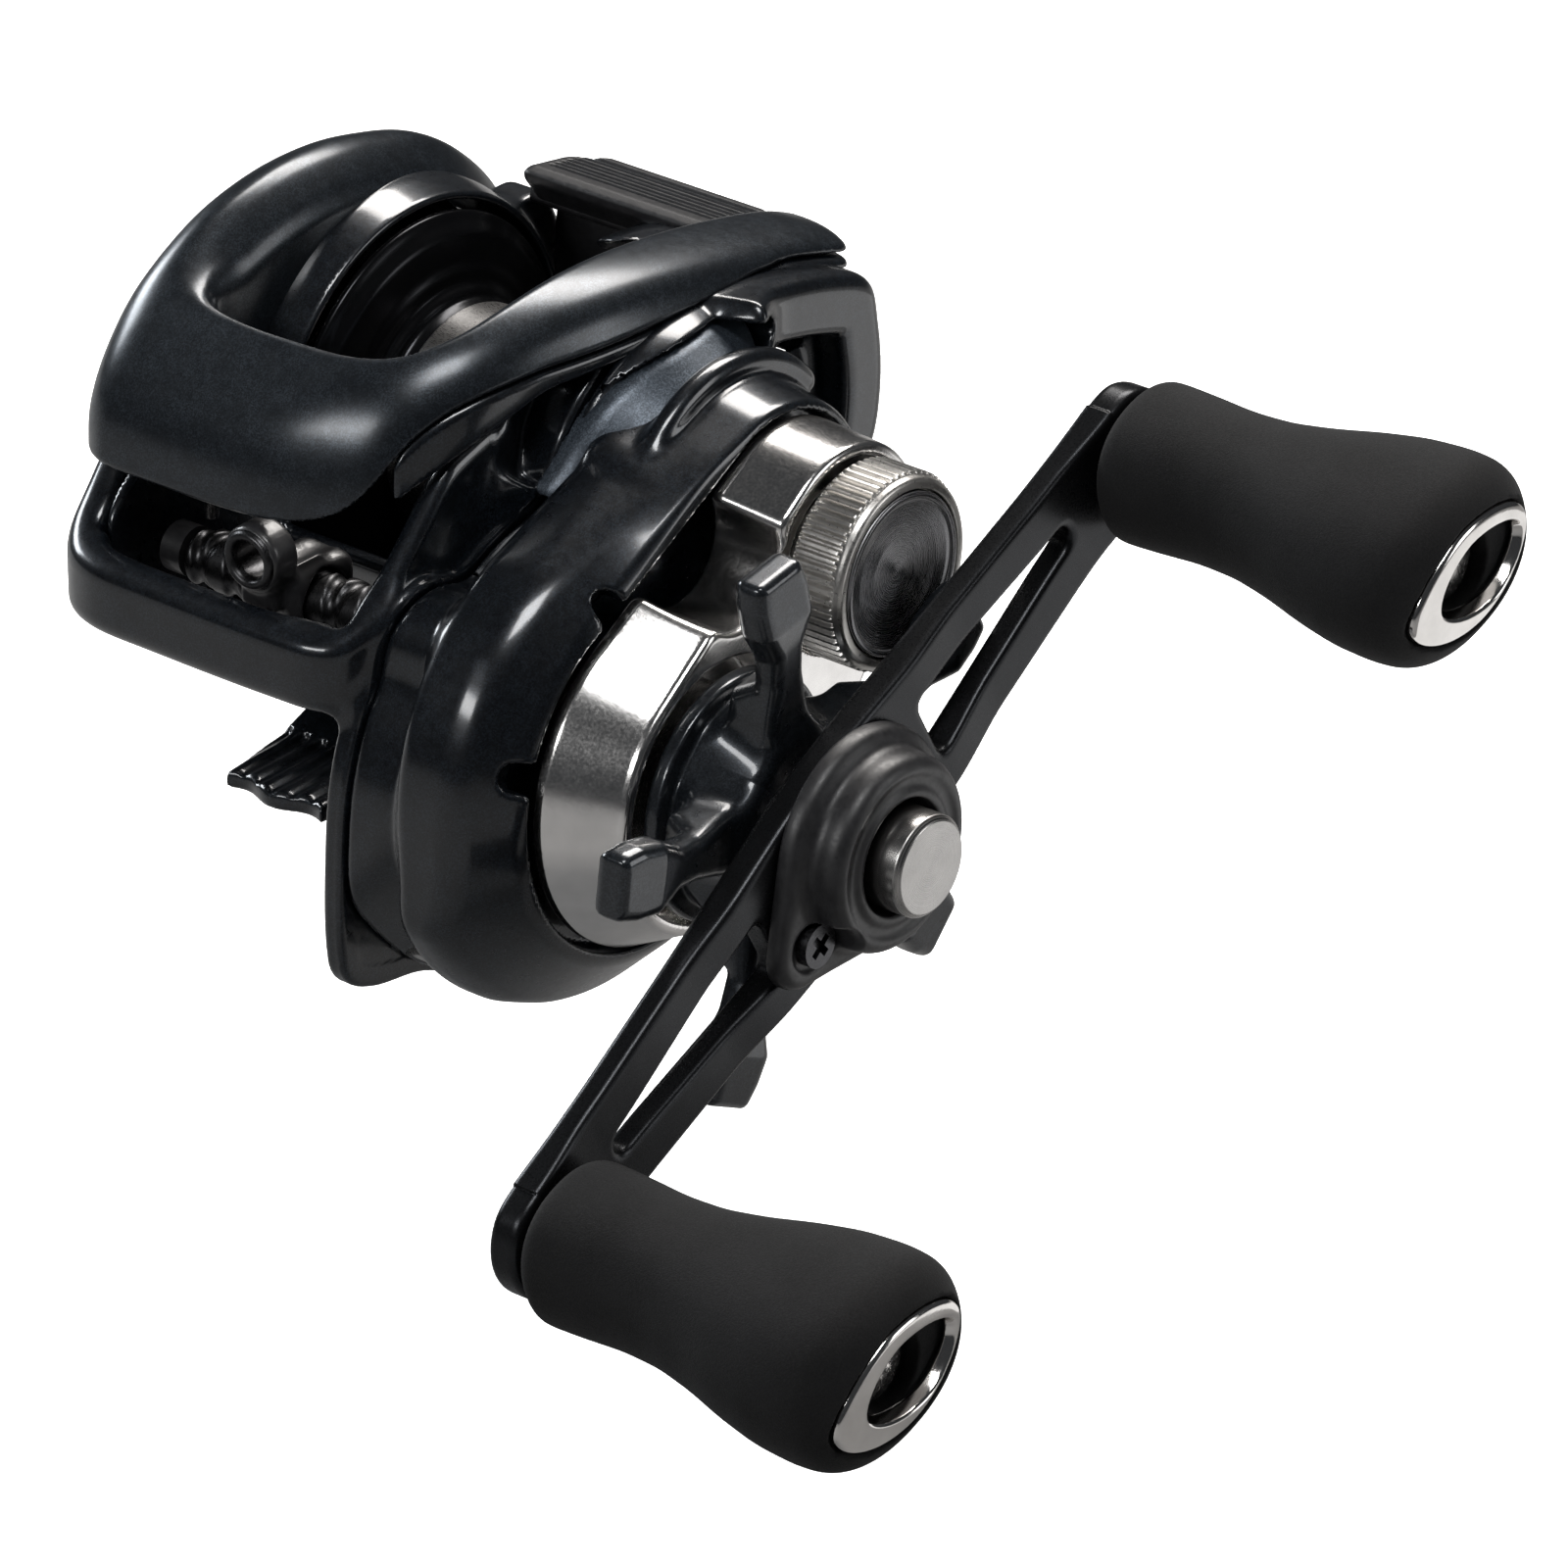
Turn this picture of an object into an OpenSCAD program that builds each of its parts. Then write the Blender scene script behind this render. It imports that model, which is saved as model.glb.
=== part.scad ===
// Low-profile baitcasting reel, handle on the +X side.
// X runs along the spool shaft, -Y is the line exit and +Z is up. The origin is the middle of the foot's
// underside; the modules are drawn about the middle of the spool and lifted by foot_drop at the end.
// All sizes are millimetres.

/* [Spool] */
// Spool flange diameter
spool_d = 34; // [32:0.5:34.6]
// Spool width over both flanges
spool_w = 20; // [18:0.5:20.4]
// Diameter the line is wound on
arbor_d = 16; // [15:0.5:20]
// Spool shaft diameter
spool_shaft_d = 2.5; // [2:0.1:3]

/* [Drive line] */
// Drive shaft axis in front of the spool axis
drive_fwd = 16; // [15.5:0.1:16.5]
// Drive shaft axis below the spool axis
drive_drop = 15.2; // [14.8:0.1:15.6]
// Teeth on the main gear
main_teeth = 78; // [71:1:85]
// Teeth on the pinion (keep it odd)
pinion_teeth = 11; // [9:2:13]
// Tooth backlash on each flank
backlash = 0.05; // [0.03:0.01:0.08]

/* [Handle] */
// Drive axis to knob axis
handle_throw = 42; // [38:1:50]
// Direction of the upper arm, from the rear
arm_angle = 29.3; // [0:1:90]
// Thickness of the handle arm
arm_t = 3; // [2.4:0.1:3.4]
// Length of each knob
knob_len = 35; // [30:1:38]
// Widest size of each knob
knob_w = 20; // [16:0.5:22]
// Reach of the star drag arms
star_reach = 24.4; // [20:0.2:26]

/* [Level wind] */
// Width of the line guide carriage
carriage_w = 6; // [5:0.5:6.5]
// Inner radius of the line guide eye
eye_r = 1.6; // [1.2:0.1:1.8]

/* [Foot] */
// Foot underside below the spool axis
foot_drop = 22.6; // [22:0.1:24]
// Length of the reel foot
foot_len = 62; // [56:1:64]
// Width of the reel foot at its tips
foot_w = 12.5; // [11:0.5:14]

/* [Hidden] */
$fn = 64;
run = 0.06;
drive_y = -drive_fwd;
drive_z = -drive_drop;
spool_r = spool_d / 2;
bore_r = 17.6;
wall_in = 10.8;
wall_out = 12.8;
ring_out = -16;
ring_in = -11;
cover_top = 29.2;
plate_top = 36;
drive_dist = sqrt(drive_y * drive_y + drive_z * drive_z);
drive_dir = atan2(-drive_z, -drive_y);
gear_m = 2 * drive_dist / (main_teeth + pinion_teeth);
train_m = 0.5;
worm_drive_teeth = 20;
idle_teeth = 14;
worm_teeth = 14;
train_dir = 134.5;
idle_dist = train_m * (worm_drive_teeth + idle_teeth) / 2;
worm_dist = idle_dist + train_m * (idle_teeth + worm_teeth) / 2;
idle_y = drive_y + idle_dist * cos(train_dir);
idle_z = drive_z + idle_dist * sin(train_dir);
worm_y = drive_y + worm_dist * cos(train_dir);
worm_z = drive_z + worm_dist * sin(train_dir);
rod_y = worm_y + 2.3;
rod_z = worm_z - 4.9;
main_in = 19.9;
main_out = 23.1;
train_in = 16.6;
train_out = 18.4;
arm_in = 46.5;
arm_out = arm_in + arm_t;
knob_in = arm_out + 0.7;
knob_end = knob_in + knob_len;
paddle_dir = 20;
shaft_r = spool_shaft_d / 2;
pin_x = 14.2;
post_r = 7.6;
cam_dir = 15.4;
hood_screw_x = [-13.5, 11.8];
screw_dir = 220;
eye_z = 0.9;
star_step = 72;
star_dir = 27.6;

// Piece to show

// ---- helpers ----

module along_x() rotate([90, 0, 90]) children();

module rod(x0, x1, r) translate([x0, 0, 0]) along_x() cylinder(h = x1 - x0, r = r);

module cone(x0, x1, r0, r1) translate([x0, 0, 0]) along_x() cylinder(h = x1 - x0, r1 = r0, r2 = r1);

module tube(x0, x1, ro, ri) difference() {
  rod(x0, x1, ro);
  rod(x0 - 1, x1 + 1, ri);
}

module box(x0, x1, y0, y1, z0, z1) translate([x0, y0, z0]) cube([x1 - x0, y1 - y0, z1 - z0]);

module at(y, z) translate([0, y, z]) children();

module at_drive() at(drive_y, drive_z) children();

module at_knob(side) at_drive() at(side * handle_throw * cos(arm_angle), side * handle_throw * sin(arm_angle))
  children();

module turned(profile) along_x() rotate_extrude() polygon(profile);

module turn(a) rotate([a, 0, 0]) children();

// Rounded corner of a path: corner p between the neighbours a and b, radius r.
function unit(v) = v / norm(v);
function corner(a, p, b, r, n) =
  let (u = unit(a - p), w = unit(b - p), half = acos(min(1, max(-1, u * w))) / 2, c = p + unit(u + w) * r / sin(half),
    s = p + u * r / tan(half) - c, e = p + w * r / tan(half) - c, a0 = atan2(s[1], s[0]), a1 = atan2(e[1], e[0]),
    sweep = (a1 - a0 + 540) % 360 - 180)
  [for (i = [0 : n]) c + r * [cos(a0 + sweep * i / n), sin(a0 + sweep * i / n)]];

// Closed path through [y, z, radius] corners.
function rounded(pts, n = 6) = [for (i = [0 : len(pts) - 1])
  let (k = len(pts), a = pts[(i + k - 1) % k], p = pts[i], b = pts[(i + 1) % k])
  each corner([a[0], a[1]], [p[0], p[1]], [b[0], b[1]], p[2], n)];

module slab(x0, x1, pts) translate([x0, 0, 0]) along_x() linear_extrude(x1 - x0) polygon(pts);

// Involute gear outline with short teeth; a tooth points along +Y before turning.
function roll(rb, r) = sqrt(max(0, r * r / (rb * rb) - 1)) * 180 / PI - acos(min(1, rb / r));
function flank(z, m, r) = let (rp = z * m / 2, rb = rp * cos(25))
  90 / z - backlash / rp * 180 / PI + roll(rb, rp) - roll(rb, max(r, rb));
function gear_path(z, m) = let (rp = z * m / 2, rt = rp + 0.8 * m, rr = rp - 1.05 * m, rb = max(rr + 0.02, rp * cos(25)),
    radii = [rr, rb, (rb + rt) / 2, rt])
  [for (i = [0 : z - 1]) each concat(
    [for (k = [0 : 3]) polar(radii[k], 360 * i / z - flank(z, m, radii[k]))],
    [for (k = [3 : -1 : 0]) polar(radii[k], 360 * i / z + flank(z, m, radii[k]))])];
function polar(r, a) = [r * cos(a), r * sin(a)];

module gear(x0, x1, z, m, a) turn(a) slab(x0, x1, gear_path(z, m));

module screw(x0, x1, r, head_r, head_l) difference() {
  union() {
    rod(x0, x1, r);
    rod(x0, x0 + head_l, head_r);
  }
  box(x0 - 1, x0 + head_l * 0.6, -0.35, 0.35, -head_r * 0.6, head_r * 0.6);
  box(x0 - 1, x0 + head_l * 0.6, -head_r * 0.6, head_r * 0.6, -0.35, 0.35);
}

// ---- shells ----

// Region over the joint line between the hood and the body below it.
module above_split() slab(-40, 40, [[-60, 1.6], [-24, 1.6], [-8, 9], [14, 10.5], [60, 8], [60, 60], [-60, 60]]);

module hood_block() intersection() {
  hull() {
    rod(-19.5, ring_out, 19.6);
    rod(-21, -19, 18);
    rod(wall_in, 13.4, 18.8);
    rod(15, 16.4, 15.6);
    at(-26.6, 4) rod(-18.5, 11.5, 2.6);
    at(20, 11) rod(-19.5, -15, 3.4);
    at(20, 11) rod(11.8, 17.4, 3.2);
  }
  above_split();
}

module wall_outline() {
  hull() {
    translate([-14.5, -17]) circle(19.5);
    translate([-29.5, -31.8]) circle(5);
    circle(18.6);
    translate([16, 3]) circle(9);
    translate([19, 9]) circle(4);
    translate([-31, -6]) circle(4.4);
  }
}

module cover_outer() hull() {
  translate([wall_out, 0, 0]) along_x() linear_extrude(3) wall_outline();
  at_drive() rod(17, 21, 22.6);
  at_drive() rod(21, 24.4, 21.3);
  at_drive() rod(28.2, cover_top, 17.2);
  rod(16, 22, 16);
  rod(22, cover_top, 11.4);
  at(15, 3) rod(16, 22, 7.5);
}

module frame() color([0.07, 0.08, 0.1]) difference() {
  union() {
    difference() {
      union() {
        translate([wall_in, 0, 0]) along_x() linear_extrude(wall_out - wall_in) wall_outline();
        palm_ring();
      }
      above_split();
    }
    front_bar();
    spool_floor();
    foot();
    rear_bar();
    at_drive() rod(wall_in, 16, 7.2);
    rod(wall_in, 14.4, 4.3);
    at(idle_y, idle_z) rod(wall_in, 18.5, 1.2);
  }
  rod(-30, wall_in, bore_r);
  rod(0, 20, 3.5);
  at_drive() rod(13, 20, 6);
  at_drive() rod(0, 20, 2);
  at(worm_y, worm_z) rod(-13.5, 20, 2.2);
  at(rod_y, rod_z) rod(-12, 11.8, 0.9);
  for (s = [-1, 1]) turn(drive_dir + 90) at(s * post_r, 0) rod(wall_in + 0.6, 20, 1);
  for (p = screw_places()) at(p[0], p[1]) {
    rod(0, 20, 1);
    rod(9.4, wall_in + 0.1, 1.9);
  }
  for (x = hood_screw_x) translate([x, -22.5, -3.2]) cylinder(h = 8, r = 0.6);
  box(0, 20, 17.8, 22.2, -0.4, 7.6);
  box(-14, 11.5, 15.7, 30, 6.9, 30);
  box(-10.7, 10.5, -32.9, -22.5, -30, 20);
}

function screw_places() = [[-29.5, -31.5], [18.6, -3.4], [-3.5, -32]];

module palm_ring() translate([ring_out, 0, 0]) along_x() linear_extrude(ring_in - ring_out) {
  hull() {
    circle(19.3);
    translate([-31, -6]) circle(4.4);
    translate([14, 2]) circle(9);
  }
}

module front_bar() slab(-18, wall_out, rounded([[-35.4, -9.4, 1.4], [-33.2, -9.4, 0.8], [-33.2, -2.4, 0.8],
  [-35.4, -2.4, 1.4]]));

module spool_floor() difference() {
  along_x() translate([0, 0, ring_out]) rotate([0, 0, 200]) rotate_extrude(angle = 150)
    polygon([[bore_r - 1, 0.5], [19.4, 0.5], [19.4, wall_in - ring_out + 0.5], [bore_r - 1, wall_in - ring_out + 0.5]]);
}

module rear_bar() slab(ring_in, wall_in, rounded([[18.2, -6, 0.6], [21.4, -6, 1.4], [22.2, -2, 1.4], [18.4, -2, 0.6]]));

module foot() difference() {
  union() {
    slab(-foot_w / 2, foot_w / 2, rounded([[-foot_len / 2, -foot_drop, 0.4], [foot_len / 2, -foot_drop, 0.4],
      [foot_len / 2, 1.8 - foot_drop, 0.8], [17, 4.4 - foot_drop, 3], [-17, 4.4 - foot_drop, 3],
      [-foot_len / 2, 1.8 - foot_drop, 0.8]]));
    slab(-8.6, 8.6, rounded([[-17.5, -foot_drop, 0.4], [17.5, -foot_drop, 0.4], [13, -17.9, 2], [-13, -17.9, 2]]));
  }
  for (s = [-1, 1]) for (x = [-4, -2, 0, 2, 4])
    translate([x, s * 25.5, 3.3 - foot_drop]) rotate([-s * 10.5, 0, 0]) cube([0.7, 10, 0.9], center = true);
}

module hood() color([0.1, 0.12, 0.15]) difference() {
  hood_block();
  rod(-40, wall_in, bore_r);
  slab(-9.8, 9.6, rounded([[-17.4, 0, 2], [-17.4, 30, 2], [60, 30, 2], [60, 0, 2]]));
  box(-14, 11.6, 12, 60, 0, 60);
  slab(-10.7, 10.5, rounded([[-31, 0, 0.5], [-31, 2.6, 0.4], [-25, 4.4, 1], [-19, 8, 1], [-12, 0, 1]]));
  rod(wall_in - 1, 40, 13);
  for (x = hood_screw_x) translate([x, -22.5, 0]) cylinder(h = 4.8, r = 0.6);
  at_drive() rod(19, 40, 20.2);
}

module hood_screws() color([0.55, 0.55, 0.58]) for (x = hood_screw_x) translate([x, -22.5, -3.2])
  cylinder(h = 8, r = 0.6);

module gear_cover() color([0.05, 0.06, 0.08]) difference() {
  union() {
    difference() {
      cover_outer();
      hood_block();
    }
    at_drive() rod(26.2, 35.6, 10.4);
    rod(cover_top - 2, 40.2, 6.3);
  }
  at_drive() rod(0, 19.6, 16.4);
  at_drive() rod(19.5, 23.5, 20.2);
  at_drive() rod(19, 40, 8);
  rod(0, 19, 11);
  rod(0, 28.7, 9.6);
  rod(0, 34, 5);
  rod(0, 36.4, 2.2);
  rod(36.3, 60, 4.6);
  at(worm_y, worm_z) rod(0, 19.2, 4.6);
  at(idle_y, idle_z) rod(0, 19.2, 4.6);
  slab(0, 15.4, rounded([[0, -6, 1], [22.4, -2, 1], [22.4, 8.8, 1], [0, 9.6, 1]]));
  for (p = screw_places()) at(p[0], p[1]) rod(0, 18.2, 0.8);
}

module drag_shroud() color([0.75, 0.75, 0.76]) difference() {
  hull() {
    at_drive() cone(cover_top, plate_top - 0.4, 15.4, 12.6);
    at_drive() cone(plate_top - 0.4, plate_top, 12.6, 12.1);
    cone(cover_top, plate_top - 0.4, 10.2, 9.7);
    cone(plate_top - 0.4, plate_top, 9.7, 9.2);
  }
  at_drive() rod(0, plate_top - 1, 10.6);
  at_drive() rod(0, 60, 11.3);
  rod(0, 60, 6.4);
  rod(cover_top + 1, plate_top - 1.4, 8.4);
}

module cover_screws() color([0.5, 0.5, 0.52]) for (p = screw_places()) at(p[0], p[1])
  screw(9.6, 18, 0.8, 1.7, 1.2);

// ---- bearings and fixed internals ----

module bearing(x0, x1, ro, ri) difference() {
  tube(x0, x1, ro, ri);
  tube(x0 - 1, x0 + 0.25, ro - 0.7, ri + 0.7);
  tube(x1 - 0.25, x1 + 1, ro - 0.7, ri + 0.7);
}

module drive_bearing() color([0.7, 0.7, 0.72]) at_drive() bearing(13, 16, 6, 3.04);

module one_way_clutch() color([0.62, 0.62, 0.66]) at_drive() tube(28.4, 35, 8, 5.56);

module spool_bearing_outer() color([0.7, 0.7, 0.72]) bearing(31, 34, 5, shaft_r + 0.04);

module spool_bearing_palm() color([0.7, 0.7, 0.72]) bearing(-20.5, -17.5, 5, shaft_r + 0.04);

module yoke_posts() color([0.7, 0.7, 0.72]) turn(drive_dir + 90) for (s = [-1, 1]) at(s * post_r, 0) {
  rod(wall_in + 0.6, 24.6, 1);
  rod(24, 24.6, 1.85);
}

module yoke_springs() color([0.75, 0.75, 0.75]) turn(drive_dir + 90) for (s = [-1, 1]) at(s * post_r, 0)
  for (i = [0 : 4]) along_x() translate([0, 0, 18.9 + i * 1.17]) rotate_extrude() translate([1.6, 0]) circle(0.25, $fn = 24);

module worm_bushings() color([0.72, 0.6, 0.35]) at(worm_y, worm_z) {
  tube(wall_in + 0.1, wall_out, 2.2, 1.26);
  tube(-13.5, -11.4, 2.2, 1.26);
}

module guide_rod() color([0.72, 0.72, 0.74]) at(rod_y, rod_z) rod(-12, 11.8, 0.9);

module tension_pad() color([0.85, 0.83, 0.78]) {
  rod(38.4, 39.2, 4.2);
  rod(37.4, 38.4, 1.6);
}

// ---- palm side ----

module palm_cover() color([0.07, 0.08, 0.1]) difference() {
  hull() {
    rod(-20, ring_out, 19.2);
    rod(-25.5, -21, 15.5);
    rod(-27.4, -24, 11.5);
    at(-28.8, -6) rod(-19, ring_out, 4.2);
    at(13.6, 2) rod(-19, ring_out, 8.2);
  }
  difference() {
    rod(-22.6, 0, 16.4);
    rod(-30, -18.2, 6.6);
    rod(-30, -16, 6);
  }
  rod(-20.5, 0, 5);
  rod(-21.6, 0, 1.9);
  rod(-40, -25.4, 7.6);
  rod(-40, -23.4, 2);
  hood_block();
}

module brake_ring() color([0.72, 0.72, 0.74]) tube(-18.2, -6.6, 6.6, 6);

module brake_dial() color([0.12, 0.12, 0.13]) difference() {
  union() {
    rod(-28.2, -25.5, 7.5);
    rod(-29.4, -28.2, 6.9);
    rod(-25.5, -23.5, 1.94);
  }
  for (s = [-1, 1]) at(s * 4.9, 0) box(-31, -28.4, -2.9, 2.9, -7, 7);
  for (a = [0 : 18 : 342]) turn(a) at(7.9, 0) rod(-31, -24, 0.6);
}

// ---- spool ----

module spool() color([0.22, 0.22, 0.24]) {
  rim = spool_w / 2;
  ar = arbor_d / 2;
  difference() {
    turned([[shaft_r, -4], [7, -4], [7, 2.6 - rim], [15.2, 1.1 - rim], [15.6, -rim], [spool_r, -rim],
      [spool_r, 0.7 - rim], [15.6, 1.9 - rim], [ar + 0.6, 3.4 - rim], [ar, 4 - rim], [ar, rim - 4],
      [ar + 0.6, rim - 3.4], [15.6, rim - 1.9], [spool_r, rim - 0.7], [spool_r, rim], [15.6, rim],
      [15.2, rim - 1.1], [7, rim - 2.6], [7, 4], [shaft_r, 4]]);
    for (a = [0 : 45 : 315]) turn(a) at(4.4, 0) rod(-5, 5, 1.1);
    for (a = [0 : 30 : 330]) turn(a) at(11.6, 0) rod(-11, 11, 1);
  }
}

module spool_shaft() color([0.75, 0.75, 0.77]) difference() {
  rod(-21.2, 37.3, shaft_r);
  translate([pin_x, 0, -5]) cylinder(h = 10, r = 0.55, $fn = 32);
}

module clutch_pin() color([0.75, 0.75, 0.77]) translate([pin_x, 0, -2.7]) cylinder(h = 5.4, r = 0.55, $fn = 32);

module brake_hub() color([0.8, 0.78, 0.72]) {
  difference() {
    union() {
      rod(-9.2, -5.4, 2.9);
      for (a = [0 : 90 : 270]) turn(a) translate([-7.3, 0, 0]) cylinder(h = 5.6, r = 0.5, $fn = 32);
    }
    rod(-20, 0, shaft_r);
  }
}

module brake_shoes() color([0.9, 0.9, 0.88]) for (a = [0 : 90 : 270]) turn(a) translate([-7.3, 0, 3.4]) difference() {
  cylinder(h = 2, r = 1.25);
  translate([0, 0, -1]) cylinder(h = 5, r = 0.55);
}

// ---- clutch ----

module clutch_yoke() color([0.8, 0.78, 0.74]) turn(drive_dir + 90) difference() {
  slab(15.5, 16.5, rounded([[-9.8, -2.4, 1.4], [9.8, -2.4, 1.4], [9.8, 2.6, 1.4], [4.6, 5, 1.6], [-4.6, 5, 1.6],
    [-9.8, 2.6, 1.4]]));
  rod(10, 20, 2.35);
  box(10, 20, -2.35, 2.35, -10, 0);
  for (s = [-1, 1]) at(s * post_r, 0) rod(10, 20, 1 + run);
}

module pinion_gear() color([0.78, 0.62, 0.3]) difference() {
  union() {
    rod(13.6, 15.4, 3.3);
    rod(15, 17, 2.2);
    rod(16.6, 17.3, 3.2);
    gear(17.3, 26.4, pinion_teeth, gear_m, drive_dir);
  }
  rod(0, 40, shaft_r + 0.07);
  box(13, 15.1, -0.62, 0.62, -4, 4);
}

module clutch_cam() color([0.7, 0.7, 0.68]) difference() {
  union() {
    rod(12.9, 14.1, 6.4);
    turn(cam_dir) slab(12.9, 14.1, rounded([[0, -2.4, 1], [0, 2.4, 1], [17, 2.6, 1], [21.6, 2.6, 1.4], [21.6, -2.6, 1.4],
      [17, -2.6, 1]]));
  }
  rod(0, 40, 4.3 + run);
  turn(cam_dir) slab(0, 40, rounded([[18.4, -1.4, 1.2], [23.6, -1.4, 1.2], [23.6, 1.4, 1.2], [18.4, 1.4, 1.2]]));
}

module thumb_bar() color([0.14, 0.14, 0.15]) {
  slab(-11.8, 10.4, rounded([[16.2, 12.2, 0.6], [23.4, 11.2, 1.2], [24, 13.4, 1], [17.2, 14.6, 0.5]]));
  box(8.4, 10.4, 18.6, 21.4, 4.6, 13);
  translate([0, 20, 5.5]) rod(10.4, 14.3, 0.9);
}

module thumb_pad() color([0.05, 0.05, 0.05]) difference() {
  slab(-11.4, 10, rounded([[17.4, 14.6, 0.3], [23.9, 13.45, 0.3], [23.2, 15, 0.6], [18, 16, 0.6]]));
  for (i = [0 : 6]) translate([0, 18.3 + i * 0.78, 16.06 - i * 0.15]) rod(-10.4, 9, 0.22);
}

// ---- drive line ----

module drive_shaft() color([0.72, 0.72, 0.74]) at_drive() {
  rod(13, 16.2, 3);
  rod(16.2, 36.2, 4);
  rod(36.2, arm_in - 0.4, 3.5);
  intersection() {
    rod(arm_in - 0.4, arm_out, 3.5);
    box(arm_in - 1, arm_out + 1, -2.7, 2.7, -5, 5);
  }
  rod(arm_out, 54, 2.6);
}

module ratchet_plate() color([0.6, 0.6, 0.62]) at_drive() difference() {
  rod(18.6, 19.6, 9.4);
  rod(0, 40, 4);
  for (a = [0 : 30 : 330]) turn(a) at(9.6, 0) slab(18, 21, [[-1.6, 0], [1, -1.9], [1, 1.9]]);
}

module worm_drive_gear() color([0.85, 0.83, 0.78]) at_drive() difference() {
  gear(train_in, train_out, worm_drive_teeth, train_m, train_dir);
  rod(0, 40, 4);
}

module main_gear() color([0.8, 0.65, 0.32]) at_drive() difference() {
  gear(main_in, main_out, main_teeth, gear_m, drive_dir);
  rod(0, 40, 4);
  rod(21.2, 40, 13);
  for (a = [0 : 60 : 300]) turn(a) at(8.6, 0) rod(0, 40, 2.2);
}

module drag_washer() color([0.1, 0.1, 0.1]) at_drive() tube(21.2, 21.9, 12.8, 4.6);

module pressure_plate() color([0.7, 0.7, 0.72]) at_drive() tube(21.9, 23, 12.6, 4);

module drag_springs() color([0.72, 0.72, 0.74]) at_drive() {
  turned([[4.2, 23], [7, 23.6], [7, 24.1], [4.2, 23.5]]);
  turned([[4.2, 24.7], [7, 24.1], [7, 24.6], [4.2, 25.2]]);
}

module clutch_sleeve() color([0.74, 0.74, 0.76]) at_drive() tube(25.3, 36.2, 5.5, 4);

// ---- handle ----

module arm_plate() {
  half = handle_throw;
  for (s = [0, 180]) turn(s) slab(arm_in, arm_out, rounded([[0, -8.2, 3], [half - 3, -5.7, 3], [half + 5.7, -5.7, 5.6],
    [half + 5.7, 5.7, 5.6], [half - 3, 5.7, 3], [0, 8.2, 3], [-4, 0, 1]]));
}

module handle_arm() color([0.16, 0.16, 0.17]) at_drive() turn(arm_angle) difference() {
  union() {
    arm_plate();
    rod(arm_in, arm_out, 8.6);
  }
  intersection() {
    rod(0, 80, 3.5);
    turn(-arm_angle) box(0, 80, -2.7, 2.7, -5, 5);
  }
  for (s = [0, 180]) turn(s) slab(0, 80, rounded([[11, -3.4, 1], [33, -1.1, 1], [33, 1.1, 1], [11, 3.4, 1]]));
  for (s = [-1, 1]) at(s * handle_throw, 0) rod(0, 80, 2);
  turn(screw_dir - arm_angle) at(9.4, 0) rod(0, 80, 1);
}

module handle_nut() color([0.66, 0.66, 0.67]) at_drive() difference() {
  union() {
    along_x() translate([0, 0, arm_out]) cylinder(h = 2.6, r = 5.4, $fn = 6);
    rod(arm_out, 56.9, 4.4);
    cone(56.9, 57.6, 4.4, 3.9);
  }
  rod(0, 54.2, 2.6);
}

module nut_retainer() color([0.06, 0.06, 0.06]) at_drive() difference() {
  hull() {
    rod(arm_out, 51.4, 10);
    rod(52, 53.4, 8);
    turn(screw_dir) at(10.2, 0) rod(arm_out, 51.2, 3.4);
  }
  rod(0, 80, 5.6);
  turn(screw_dir) at(9.4, 0) rod(50.9, 80, 2.1);
  turn(screw_dir) at(9.4, 0) rod(0, 80, 1);
}

module retainer_screw() color([0.2, 0.2, 0.2]) at_drive() turn(screw_dir) at(9.4, 0) mirror([1, 0, 0])
  screw(-52, 0.1 - arm_out, 1, 1.9, 1.1);

module knob_shafts() color([0.72, 0.72, 0.74]) for (s = [-1, 1]) at_knob(s) {
  rod(arm_in + 0.2, knob_end - 5, 2);
  rod(arm_out, arm_out + 0.5, 3.4);
}

module knob_screws() color([0.6, 0.6, 0.6]) for (s = [-1, 1]) at_knob(s) difference() {
  rod(knob_end - 5, knob_end - 3.8, 3);
  box(knob_end - 4.3, knob_end, -0.4, 0.4, -2.4, 2.4);
}

module star_drag() color([0.08, 0.09, 0.1]) at_drive() difference() {
  union() {
    rod(36.4, 37.8, 10.9);
    cone(37.8, 41, 9.6, 8.8);
    rod(41, 43.4, 8.8);
    cone(43.4, 44.4, 8.8, 7.6);
    for (i = [0 : 4]) turn(star_dir + i * star_step) star_arm();
  }
  rod(0, 80, 3.6);
  along_x() translate([0, 0, 30]) cylinder(h = 10.9, r = 5.9, $fn = 6);
}

module star_arm() intersection() {
  translate([0, 0, -4]) rotate([90, 0, 90]) rotate([-90, 0, 0]) translate([0, 0, -4]) mirror([0, 1, 0])
    linear_extrude(8) polygon(rounded([[4, 38.6, 0.3], [12.4, 39.6, 0.6], [13.4, 42.4, 0.6], [star_reach, 42.5, 0.8],
      [star_reach + 0.3, 45.4, 1], [19.5, 46, 1], [11, 44.6, 2], [4, 43.8, 0.3]]));
  slab(30, 60, rounded([[2, -3.6, 1], [12, -2.2, 1], [17, -1.9, 1], [19.6, -3.1, 1], [star_reach + 0.3, -2.7, 1],
    [star_reach + 0.3, 2.7, 1], [19.6, 3.1, 1], [17, 1.9, 1], [12, 2.2, 1], [2, 3.6, 1]]));
}

module drag_nut() color([0.72, 0.6, 0.35]) at_drive() difference() {
  along_x() translate([0, 0, 37]) cylinder(h = 3.8, r = 5.8, $fn = 6);
  rod(0, 80, 3.5 + run);
}

// ---- knobs ----

module oval(x, wide, thin) translate([x, 0, 0]) along_x() linear_extrude(0.2) rotate(paddle_dir) polygon(
  [for (i = [0 : 39]) [wide * cos(i * 9), thin * sin(i * 9)]]);

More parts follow.
